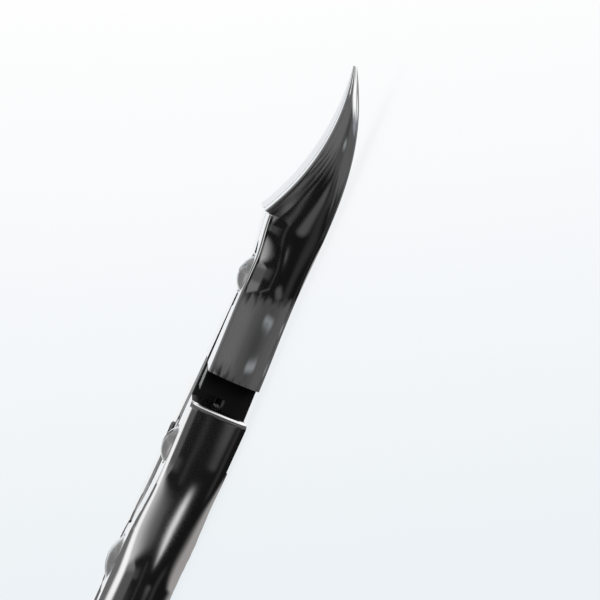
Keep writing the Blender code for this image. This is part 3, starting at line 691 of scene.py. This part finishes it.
def screw(name, body, place, pin, head, rise, low, seat, turn, mat):
    """A slotted screw, put in its place by a matrix."""
    profile = screw_profile(pin, head, rise, low, seat)
    piece = turned(name, profile, mat=mat)
    cutter = slot_cutter(head, rise, seat, turn)
    piece.data.transform(place)
    cutter.data.transform(place)
    combine(piece, cutter, "DIFFERENCE")
    finish_skin(piece, mat)
    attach(piece, body)
    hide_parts(name)


# Leaf springs


def leaf_path():
    """Centre line of the right leaf: a straight pad, a cubic curve to the middle and a lip."""
    root_y = HANDLE_PIVOT_Y - LEAF_ROOT_BACK
    tip_y = HANDLE_PIVOT_Y - LEAF_TIP_BACK
    off = GAP + LEAF_THICKNESS / 2
    start = np.array((float(handle_sides(root_y - LEAF_PAD)[0]) - off, root_y - LEAF_PAD))
    root = np.array((float(handle_sides(root_y)[0]) - off, root_y))
    along = (root - start) / np.linalg.norm(root - start)
    reach = tip_y - root_y
    cross = np.array((0.0, tip_y))
    leave = root + along * reach * 0.42
    arrive = cross - np.array((-0.5, 0.87)) * reach * 0.34
    t = np.linspace(0, 1, 72)[:, None]
    curve = ((1 - t) ** 3 * root + 3 * (1 - t) ** 2 * t * leave + 3 * (1 - t) * t**2 * arrive + t**3 * cross)
    heading = (curve[-1] - curve[-2]) / np.linalg.norm(curve[-1] - curve[-2])
    pad = start + along * np.linspace(0, 1, 14)[:-1, None] * np.linalg.norm(root - start)
    lip = np.linspace(0, 1, 9)[1:, None]
    lip = cross + heading * LEAF_LAP * 0.8 * lip + np.array((0.0, LEAF_LAP * 0.25)) * lip**2
    return np.concatenate([pad, curve, lip])


def leaf(side, name, mat):
    """One leaf spring: a rounded bar carried along its path. The right one ends in a fork, the left one in a
    tongue that passes through it."""
    path = leaf_path()
    along = np.gradient(path, axis=0)
    along /= np.linalg.norm(along, axis=1, keepdims=True)
    across = np.stack([-along[:, 1], along[:, 0]], axis=-1)
    step = np.linalg.norm(np.diff(path, axis=0), axis=1)
    gone = np.concatenate([[0], np.cumsum(step)]) / step.sum()
    wide = np.full(len(path), LEAF_WIDTH / 2)
    if side < 0:
        wide = blend(wide, FORK_SLOT / 2 - GAP, ease((gone - 0.52) / 0.3))
    end = np.minimum(gone, 1 - gone) * step.sum()
    left = 1 - np.clip(end / (LEAF_WIDTH / 2), 0, 1)
    wide = wide * np.where(gone < 0.5, np.sqrt(np.clip(1 - left**2, 0.15, 1)), 1.0)
    corner = np.linspace(0, math.pi / 2, 5)
    signs = ((1, 1), (-1, 1), (-1, -1), (1, -1))
    quarters = [(fx, fz, corner + math.pi / 2 * k) for k, (fx, fz) in enumerate(signs)]
    thin = LEAF_THICKNESS / 2 - LEAF_EDGE
    faces = np.concatenate([fx * thin + LEAF_EDGE * np.cos(turn) for fx, fz, turn in quarters])
    edge_sign = np.concatenate([np.full(len(turn), fz, float) for fx, fz, turn in quarters])
    edge_round = np.concatenate([LEAF_EDGE * np.sin(turn) for fx, fz, turn in quarters])
    z = MID + edge_sign[None, :] * (wide[:, None] - LEAF_EDGE) + edge_round[None, :]
    x = path[:, 0:1] + across[:, 0:1] * faces[None, :]
    y = path[:, 1:2] + across[:, 1:2] * faces[None, :]
    body = skin(name, np.stack([side * x, y, z], axis=-1), mat)
    if side > 0:
        low = HANDLE_PIVOT_Y - LEAF_TIP_BACK - LEAF_LAP * 1.7
        reach = LEAF_LAP * 4
        outline = np.array([(-reach, low), (reach, low), (reach, HANDLE_PIVOT_Y), (-reach, HANDLE_PIVOT_Y)])
        combine(body, plate("fork_slot", outline, MID - FORK_SLOT / 2, MID + FORK_SLOT / 2), "DIFFERENCE")
    combine(body, spring_screw_hole(side), "DIFFERENCE")
    finish_skin(body, mat)
    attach(body, "leaf_right" if side > 0 else "leaf_left")
    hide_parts(name)


def spring_screw_place(side):
    """The matrix that takes a body made on the Z axis onto the spring screw's axis."""
    root_y = HANDLE_PIVOT_Y - LEAF_ROOT_BACK
    off = GAP + LEAF_THICKNESS / 2
    start = Vector((float(handle_sides(root_y - LEAF_PAD)[0]) - off, root_y - LEAF_PAD))
    root = Vector((float(handle_sides(root_y)[0]) - off, root_y))
    along = (root - start).normalized()
    inward = Vector((-along.y, along.x))
    spot = start + along * LEAF_TAIL + inward * LEAF_THICKNESS / 2
    axis = Vector((side * inward.x, inward.y, 0))
    turn = axis.to_track_quat("Z", "Y").to_matrix().to_4x4()
    return Matrix.Translation((side * spot.x, spot.y, MID)) @ turn


def spring_screw_hole(side):
    """The hole through the leaf and into the grip for a spring screw."""
    deep = LEAF_THICKNESS + GAP * 2 + SPRING_PIN_GRIP
    cutter = bore("spring_screw_hole", 0, 0, SPRING_PIN_RADIUS + PIN_GAP, -deep, LEAF_THICKNESS)
    cutter.data.transform(spring_screw_place(side))
    return cutter


# Finishes


def node(tree, kind, **values):
    """A new shader node with some of its properties set. A group's own input and output are plain nodes."""
    made = tree.nodes.new(kind if kind.startswith("NodeGroup") else "ShaderNode" + kind)
    for key, value in values.items():
        setattr(made, key, value)
    return made


def feed(tree, socket, value):
    """Puts a number, a colour or another node's output into a socket."""
    if isinstance(value, bpy.types.NodeSocket):
        tree.links.new(value, socket)
    else:
        socket.default_value = value


def maths(tree, operation, *values):
    """One sum on numbers or outputs."""
    made = node(tree, "Math", operation=operation)
    for socket, value in zip(made.inputs, values):
        feed(tree, socket, value)
    return made.outputs[0]


def rise_between(tree, value, low, high, bottom=0.0, top=1.0):
    """A smooth rise from bottom to top as the value goes from low to high."""
    made = node(tree, "MapRange", interpolation_type="SMOOTHSTEP")
    for socket, number in zip(made.inputs, (value, low, high, bottom, top)):
        feed(tree, socket, number)
    return made.outputs["Result"]


def mixed(tree, share, a, b):
    """A mix of two colours."""
    made = node(tree, "Mix", data_type="RGBA")
    feed(tree, made.inputs["Factor"], share)
    feed(tree, made.inputs["A"], a)
    feed(tree, made.inputs["B"], b)
    return made.outputs["Result"]


def noise(tree, place, scale, detail=2.0):
    """Soft noise around 0.5."""
    made = node(tree, "TexNoise")
    feed(tree, made.inputs["Vector"], place)
    made.inputs["Scale"].default_value = scale
    made.inputs["Detail"].default_value = detail
    return made.outputs["Fac"]


def stretched(tree, place, turn, scale):
    """Coordinates turned about Z and squeezed, so that a noise on them runs in streaks."""
    made = node(tree, "Mapping")
    feed(tree, made.inputs["Vector"], place)
    made.inputs["Rotation"].default_value = (0, 0, turn)
    made.inputs["Scale"].default_value = scale
    return made.outputs["Vector"]


def shaded(tree, colour, value):
    """A colour made darker or lighter."""
    made = node(tree, "HueSaturation")
    made.inputs["Value"].default_value = value
    feed(tree, made.inputs["Color"], colour)
    return made.outputs["Color"]


def polish_group():
    """The surface of polished steel: hair-fine polishing lines along the tool, a few stray scratches,
    cloudy wiping marks, the shallow waves of a hand-held polish, and rougher edges with a lighter colour as
    a painted edge highlight. Puts out a colour, a roughness and a height."""
    tree = bpy.data.node_groups.new("polish", "ShaderNodeTree")
    tree.interface.new_socket("Tone", in_out="INPUT", socket_type="NodeSocketColor")
    for name in ("Gloss", "Lines", "Scratches", "Waves", "Edge Highlight And Roughness"):
        tree.interface.new_socket(name, in_out="INPUT", socket_type="NodeSocketFloat")
    tree.interface.new_socket("Colour", in_out="OUTPUT", socket_type="NodeSocketColor")
    for name in ("Roughness", "Height"):
        tree.interface.new_socket(name, in_out="OUTPUT", socket_type="NodeSocketFloat")
    given = node(tree, "NodeGroupInput").outputs
    out = node(tree, "NodeGroupOutput")
    place = node(tree, "TexCoord").outputs["Object"]
    lines = noise(tree, stretched(tree, place, 0.05, (1, 0.03, 1)), 14000)
    first = noise(tree, stretched(tree, place, 0.5, (1, 0.012, 0.6)), 3200)
    second = noise(tree, stretched(tree, place, -0.35, (1, 0.015, 0.7)), 2600)
    patches = noise(tree, place, 260)
    hair = maths(tree, "ADD", rise_between(tree, first, 0.69, 0.75), rise_between(tree, second, 0.70, 0.76))
    hair = maths(tree, "MULTIPLY", hair, rise_between(tree, patches, 0.48, 0.62))
    hair = maths(tree, "MULTIPLY", hair, given["Scratches"])
    clouds = rise_between(tree, noise(tree, place, 130, 4.0), 0.35, 0.7)
    grain = maths(tree, "MULTIPLY", maths(tree, "SUBTRACT", lines, 0.5), given["Lines"])
    rough = maths(tree, "MULTIPLY_ADD", clouds, 0.035, given["Gloss"])
    for part, strength in ((hair, 0.12), (given["Edge Highlight And Roughness"], 0.06), (grain, 0.05)):
        rough = maths(tree, "ADD", rough, maths(tree, "MULTIPLY", part, strength))
    # Darker for the wiping marks; lighter for the painted highlight on convex edges
    darker, lighter = (shaded(tree, given["Tone"], value) for value in (0.93, 1.12))
    colour = mixed(tree, maths(tree, "MULTIPLY", clouds, 0.5), given["Tone"], darker)
    colour = mixed(tree, given["Edge Highlight And Roughness"], colour, lighter)
    swell = noise(tree, stretched(tree, place, 0.2, (1, 0.6, 1)), 150, 1.0)
    waves = maths(tree, "MULTIPLY", swell, given["Waves"])
    height = maths(tree, "SUBTRACT", maths(tree, "ADD", grain, waves), maths(tree, "MULTIPLY", hair, 0.8))
    feed(tree, out.inputs["Colour"], colour)
    feed(tree, out.inputs["Roughness"], rough)
    feed(tree, out.inputs["Height"], height)
    return tree


def steel(name, tone, gloss, lines, scratches, waves, depth):
    """Polished steel from the shared polish, with its own tone, gloss, line strength, waves and relief."""
    mat = bpy.data.materials.new(name)
    mat.use_nodes = True
    tree = mat.node_tree
    shader = tree.nodes["Principled BSDF"]
    shader.inputs["Metallic"].default_value = 1.0
    polish = node(tree, "Group", node_tree=POLISH)
    polish.inputs["Tone"].default_value = (*tone, 1.0)
    given = {"Gloss": gloss, "Lines": lines, "Scratches": scratches, "Waves": waves}
    for key, value in given.items():
        polish.inputs[key].default_value = value
    # Convex edges, by pointiness: rougher, and lighter as a painted highlight
    edge = rise_between(tree, node(tree, "NewGeometry").outputs["Pointiness"], 0.53, 0.62)
    feed(tree, polish.inputs["Edge Highlight And Roughness"], edge)
    bump = node(tree, "Bump")
    bump.inputs["Strength"].default_value = 0.25
    bump.inputs["Distance"].default_value = depth
    feed(tree, bump.inputs["Height"], polish.outputs["Height"])
    feed(tree, shader.inputs["Base Color"], polish.outputs["Colour"])
    feed(tree, shader.inputs["Roughness"], polish.outputs["Roughness"])
    feed(tree, shader.inputs["Normal"], bump.outputs["Normal"])
    return mat


POLISH = polish_group()

# The tool

jaw_steel = steel("polished_jaw_steel", STEEL, 0.07, 0.35, 0.6, 110, 0.004 * MM)
handle_steel = steel("polished_handle_steel", STEEL, 0.1, 0.35, 0.7, 70, 0.004 * MM)
screw_steel = steel("polished_screw_steel", SCREW_STEEL, 0.27, 0.2, 0.8, 0, 0.004 * MM)
# Nearly black steel: painted shade on the faces inside the joints
joint_shade_steel = steel("painted_shade_joint_steel", JOINT_SHADE, 0.38, 1.0, 0.4, 5, 0.01 * MM)
spring_steel = steel("satin_spring_steel", SPRING_STEEL, 0.26, 1.0, 0.5, 5, 0.01 * MM)

jaw(1, "jaw_right", jaw_steel, joint_shade_steel)
jaw(-1, "jaw_left", jaw_steel, joint_shade_steel)
handle(1, "handle_right", handle_steel, joint_shade_steel)
handle(-1, "handle_left", handle_steel, joint_shade_steel)

SCREW_END = JAW_BACK_Z + LAP_INSET
SLIM = (PIN_RADIUS, HEAD_RADIUS)
STOUT = (HANDLE_PIN_RADIUS, HANDLE_HEAD_RADIUS, HANDLE_HEAD_RISE, LAP_INSET * 2, HANDLE_SEAT)
SPRING = (SPRING_PIN_RADIUS, SPRING_HEAD_RADIUS, SPRING_HEAD_RISE)
TURNED_OVER = Matrix.Translation((0, 0, 2 * MID)) @ Matrix.Rotation(math.pi, 4, "Y")
at_jaw = Matrix.Translation((0, JAW_PIVOT_Y, 0))
at_right_link = Matrix.Translation((LINK_OUT, LINK_Y, 0))
at_left_link = Matrix.Translation((-LINK_OUT, LINK_Y, 0)) @ TURNED_OVER
at_handle = Matrix.Translation((0, HANDLE_PIVOT_Y, 0))
for name, body, place, rise, seat, degrees in (
    ("jaw_screw", "jaw_right", at_jaw, HEAD_RISE, JAW_SEAT, 35),
    ("link_screw_right", "jaw_right", at_right_link, HEAD_RISE, LINK_SEAT, 70),
    ("link_screw_left", "handle_left", at_left_link, SUNK_HEAD_RISE, LINK_SEAT, 20),
):
    screw(name, body, place, *SLIM, rise, SCREW_END, seat, math.radians(degrees), screw_steel)
screw("handle_screw", "handle_left", at_handle, *STOUT, math.radians(110), screw_steel)
leaf(1, "leaf_spring_right", spring_steel)
leaf(-1, "leaf_spring_left", spring_steel)
deep = -(LEAF_THICKNESS + GAP + SPRING_PIN_GRIP)
for side, name, body in (
    (1, "spring_screw_right", "handle_right"),
    (-1, "spring_screw_left", "handle_left"),
):
    screw(name, body, spring_screw_place(side), *SPRING, deep, GAP / 2, math.radians(90), screw_steel)


# Floor, light and camera


def background(tree, height):
    """The background's colour: white above, cooler below."""
    rise = node(tree, "MapRange")
    feed(tree, rise.inputs["Value"], height)
    feed(tree, rise.inputs["From Min"], COOL_BELOW)
    feed(tree, rise.inputs["From Max"], WHITE_ABOVE)
    return mixed(tree, rise.outputs["Result"], (*COOL, 1), (*WHITE, 1))


def floor():
    """A wide pale floor that the tool lies on, coloured as the background is behind it. Most of its own
    colour shows whatever the light, so the tool's shadow on it stays faint."""
    reach = FLOOR_REACH
    mesh = bpy.data.meshes.new("floor")
    corners = [(-reach, -reach, 0), (reach, -reach, 0), (reach, reach, 0), (-reach, reach, 0)]
    mesh.from_pydata(corners, [], [(0, 1, 2, 3)])
    mat = bpy.data.materials.new("pale_floor")
    mat.use_nodes = True
    tree = mat.node_tree
    tree.nodes.clear()
    place = node(tree, "SeparateXYZ")
    feed(tree, place.inputs["Vector"], node(tree, "TexCoord").outputs["Object"])
    away = maths(tree, "MAXIMUM", maths(tree, "SUBTRACT", CAMERA_AWAY, place.outputs["X"]), 0.05)
    height = maths(tree, "DIVIDE", maths(tree, "SUBTRACT", place.outputs["Y"], LEVEL_Y), away)
    colour = background(tree, maths(tree, "MULTIPLY", height, math.cos(CAMERA_ROLL)))
    plain = node(tree, "BsdfDiffuse")
    feed(tree, plain.inputs["Color"], colour)
    glow = node(tree, "Emission")
    feed(tree, glow.inputs["Color"], colour)
    both = node(tree, "MixShader")
    to_camera = node(tree, "LightPath").outputs["Is Camera Ray"]
    feed(tree, both.inputs["Fac"], maths(tree, "MULTIPLY", to_camera, FLOOR_GLOW))
    tree.links.new(plain.outputs["BSDF"], both.inputs[1])
    tree.links.new(glow.outputs["Emission"], both.inputs[2])
    out = node(tree, "OutputMaterial")
    feed(tree, out.inputs["Surface"], both.outputs["Shader"])
    mesh.materials.append(mat)
    obj = bpy.data.objects.new("floor", mesh)
    bpy.context.scene.collection.objects.link(obj)
    obj.visible_glossy = False


def square_sum(tree, x, y):
    """x^2 + y^2."""
    return maths(tree, "ADD", maths(tree, "MULTIPLY", x, x), maths(tree, "MULTIPLY", y, y))


def disc_light(tree, across, along, x, y, radius, soft):
    """A round soft light on the map of the studio: 1 inside the radius, falling to 0 over the soft rim."""
    dx = maths(tree, "SUBTRACT", across, x)
    dy = maths(tree, "SUBTRACT", along, y)
    away = maths(tree, "SQRT", square_sum(tree, dx, dy))
    return rise_between(tree, away, radius, radius + soft, 1.0, 0.0)


def strip_light(tree, across, along, start, end, half, soft):
    """A straight soft light on the map of the studio, from its distance to the line between two points."""
    run = (end[0] - start[0], end[1] - start[1])
    square = run[0] ** 2 + run[1] ** 2
    dx = maths(tree, "SUBTRACT", across, start[0])
    dy = maths(tree, "SUBTRACT", along, start[1])
    dot = maths(tree, "ADD", maths(tree, "MULTIPLY", dx, run[0]), maths(tree, "MULTIPLY", dy, run[1]))
    share = node(tree, "Clamp")
    feed(tree, share.inputs["Value"], maths(tree, "DIVIDE", dot, square))
    gone = share.outputs["Result"]
    ex = maths(tree, "SUBTRACT", dx, maths(tree, "MULTIPLY", gone, run[0]))
    ey = maths(tree, "SUBTRACT", dy, maths(tree, "MULTIPLY", gone, run[1]))
    away = maths(tree, "SQRT", square_sum(tree, ex, ey))
    return rise_between(tree, away, half, half + soft, 1.0, 0.0)


def seen(level, tint=(1.0, 1.0, 1.0)):
    """The light that polished steel shows at this level of grey, 0 to 1: the screen's curve undone, over
    the steel's own tone."""
    bare = ((level + 0.055) / 1.055) ** 2.4
    return tuple(bare * part / tone for part, tone in zip(tint, STEEL)) + (1.0,)


def paint(tree, room, colour, *shares):
    """One more layer on the room so far, as strong as the product of its shares."""
    amount = shares[0]
    for share in shares[1:]:
        amount = maths(tree, "MULTIPLY", amount, share)
    return mixed(tree, amount, room, colour)


def steel_room(tree, across, along):
    """The room that the steel shows, on a map of directions flattened about +X: across runs towards the
    screw heads and along towards the tip, each the tangent of half the angle from +X. Low down it is dark
    with soft white lights at its sides, high up grey, and overhead white."""
    left, low = across, maths(tree, "MULTIPLY", along, -1.0)
    right = maths(tree, "MULTIPLY", across, -1.0)

    def rise(value, start, end, bottom=0.0, top=1.0):
        return rise_between(tree, value, start, end, bottom, top)

    def strip(start, end, half, soft):
        return strip_light(tree, across, along, start, end, half, soft)

    def disc(x, y, radius, soft):
        return disc_light(tree, across, along, x, y, radius, soft)

    def line(value, slope, other, base):
        return maths(tree, "ADD", value, maths(tree, "MULTIPLY_ADD", other, slope, base))

    def lay(colour, *shares):
        layers.append((colour, shares))

    layers = []

    # Dark side with faint streaks
    lay(seen(0.33), strip((-0.2, 0.01), (-0.16, -0.05), 0.02, 0.07), 0.8)
    lay(seen(0.2), strip((-0.32, -0.02), (-0.33, -0.28), 0.01, 0.08), 0.7)
    # Grey upper room with a pale lamp
    grey = mixed(tree, rise(left, -0.05, 0.22), seen(0.29), seen(0.38))
    grey = mixed(tree, rise(right, 0.25, 0.42), grey, seen(0.345))
    spread = node(tree, "CombineXYZ")
    feed(tree, spread.inputs["X"], across)
    feed(tree, spread.inputs["Y"], along)
    ripple = noise(tree, stretched(tree, spread.outputs["Vector"], 0.3, (1, 0.4, 1)), 11, 3.0)
    edge = line(line(along, -0.15, left, -0.155), 0.45, maths(tree, "SUBTRACT", ripple, 0.5), 0.0)
    lay(grey, rise(edge, -0.1, 0.05))
    lay(seen(0.2), rise(ripple, 0.5, 0.68), rise(along, 0.1, 0.2), 0.3)
    lay(seen(0.215), disc(-0.15, 0.4, 0.02, 0.14), 0.65)
    lamp = strip((-0.16, 0.29), (-0.27, 0.3), 0.0, 0.06)
    lay(seen(0.66, (0.93, 1.0, 1.04)), lamp, 0.55)
    # Grey side and a thin light line in the dark
    near = line(left, -2.2, maths(tree, "MAXIMUM", maths(tree, "SUBTRACT", along, 0.07), 0.0), -0.2)
    near = line(near, -1.2, maths(tree, "MAXIMUM", maths(tree, "SUBTRACT", low, 0.22), 0.0), 0.0)
    dimmer = maths(tree, "MULTIPLY", rise(low, 0.0, 0.07), rise(low, 0.17, 0.24, 1.0, 0.0))
    lay(mixed(tree, dimmer, seen(0.425), seen(0.31)), rise(near, -0.02, 0.02))
    lay(seen(0.39), strip((0.14, 0.07), (0.02, -0.02), 0.0, 0.026), 0.4)
    lay(seen(0.25), strip((0.02, -0.02), (0.02, -0.27), 0.0, 0.03), 0.5)
    # The side that the handles show: grey, then a white softbox
    band = maths(tree, "MULTIPLY", rise(low, 0.09, 0.14), rise(low, 0.2, 0.26, 1.0, 0.0))
    lay(seen(0.29), band, rise(left, 0.04, 0.16), rise(left, 0.2, 0.26, 1.0, 0.0), 0.6)
    shade = mixed(tree, rise(left, 0.0, 0.5), seen(0.31), seen(0.725))
    lay(shade, rise(line(low, 0.2, left, 0.0), 0.33, 0.43), rise(left, -0.03, 0.05))
    lay(seen(0.955), rise(left, 0.44, 0.56), rise(low, -0.02, 0.08))
    lay(seen(0.4), rise(left, 0.68, 0.88), rise(low, -0.02, 0.08))
    flank = rise(line(right, -1.5, along, -0.66), 0.3, 0.78)
    lay(seen(0.59, (1.03, 0.99, 0.98)), flank, rise(low, 0.15, 0.33))
    halo = strip((-0.1, -0.15), (-0.075, -0.6), 0.004, 0.05)
    lay(seen(0.35), rise(low, 0.2, 0.36), halo, 0.4)
    gleam = strip((-0.09, -0.15), (-0.07, -0.45), 0.0, 0.03)
    lay(seen(1.0), rise(low, 0.24, 0.42), gleam)
    # White overhead, grey towards both sides
    lay(seen(0.99), rise(along, 0.54, 0.66), rise(left, 0.3, 0.65, 1.0, 0.1))
    lay(seen(0.38), disc(0.1, 0.96, 0.14, 0.1))
    beside = maths(tree, "MULTIPLY", rise(right, 0.5, 0.65), rise(along, 0.48, 0.56))
    lay(seen(0.56, (0.9, 0.97, 1.08)), beside, rise(along, 0.64, 0.76, 1.0, 0.0))
    lay(seen(0.42), rise(right, 0.8, 1.15), rise(along, 0.2, 0.4))
    # Pale behind the tool
    reach = maths(tree, "MULTIPLY_ADD", across, across, maths(tree, "MULTIPLY", along, along))
    lay((1.0, 1.02, 1.03, 1), rise(reach, 8.0, 15.0))
    room = seen(0.075)
    for colour, shares in layers:
        room = paint(tree, room, colour, *shares)
    return room


def surroundings():
    """The studio as the world: to the camera a pale background, to the floor even light, and to the steel a
    room."""
    world = bpy.data.worlds.new("studio")
    bpy.context.scene.world = world
    world.use_nodes = True
    tree = world.node_tree
    tree.nodes.clear()
    parts = node(tree, "SeparateXYZ")
    feed(tree, parts.inputs["Vector"], node(tree, "TexCoord").outputs["Generated"])
    x, y, z = (parts.outputs[axis] for axis in "XYZ")
    ahead = maths(tree, "MAXIMUM", maths(tree, "ADD", x, 1.0), 0.001)
    room = steel_room(tree, maths(tree, "DIVIDE", z, ahead), maths(tree, "DIVIDE", y, ahead))

    from_tip = maths(tree, "MULTIPLY", y, math.cos(CAMERA_ROLL))
    from_front = maths(tree, "MULTIPLY", z, math.sin(CAMERA_ROLL))
    height = maths(tree, "ADD", from_tip, from_front)
    away = maths(tree, "MAXIMUM", maths(tree, "ABSOLUTE", x), 0.05)
    behind = background(tree, maths(tree, "DIVIDE", height, away))
    path = node(tree, "LightPath")
    shown = mixed(tree, path.outputs["Is Camera Ray"], (1, 1, 1, 1), behind)
    shown = mixed(tree, path.outputs["Is Glossy Ray"], shown, room)
    light = node(tree, "Background")
    feed(tree, light.inputs["Color"], shown)
    out = node(tree, "OutputWorld")
    feed(tree, out.inputs["Surface"], light.outputs["Background"])


def camera():
    """The photograph's viewpoint: over the right side, a little from the front face and the tip, and
    rolled."""
    turn, rise = CAMERA_TURN, CAMERA_RISE
    back = Vector((math.cos(turn) * math.cos(rise), math.sin(turn), math.cos(turn) * math.sin(rise)))
    up = Vector((0, 1, 0))
    up = (up - back * up.dot(back)).normalized()
    right = up.cross(back)
    up, right = (up * math.cos(CAMERA_ROLL) - right * math.sin(CAMERA_ROLL),
                 right * math.cos(CAMERA_ROLL) + up * math.sin(CAMERA_ROLL))
    half = PHOTO_WIDTH / 2
    aim = AIM_POINT + (right * (half - AIM_PIXEL[0]) - up * (half - AIM_PIXEL[1])) / PIXELS_PER_METRE
    data = bpy.data.cameras.new("camera")
    data.angle = 2 * math.atan(half / (PIXELS_PER_METRE * CAMERA_AWAY))
    data.clip_start = 0.01
    obj = bpy.data.objects.new("camera", data)
    bpy.context.scene.collection.objects.link(obj)
    place = Matrix((right, up, back)).transposed().to_4x4()
    place.translation = aim + back * CAMERA_AWAY
    obj.matrix_world = place
    bpy.context.scene.camera = obj


floor()
surroundings()
camera()
bpy.context.scene.view_settings.view_transform = "Standard"
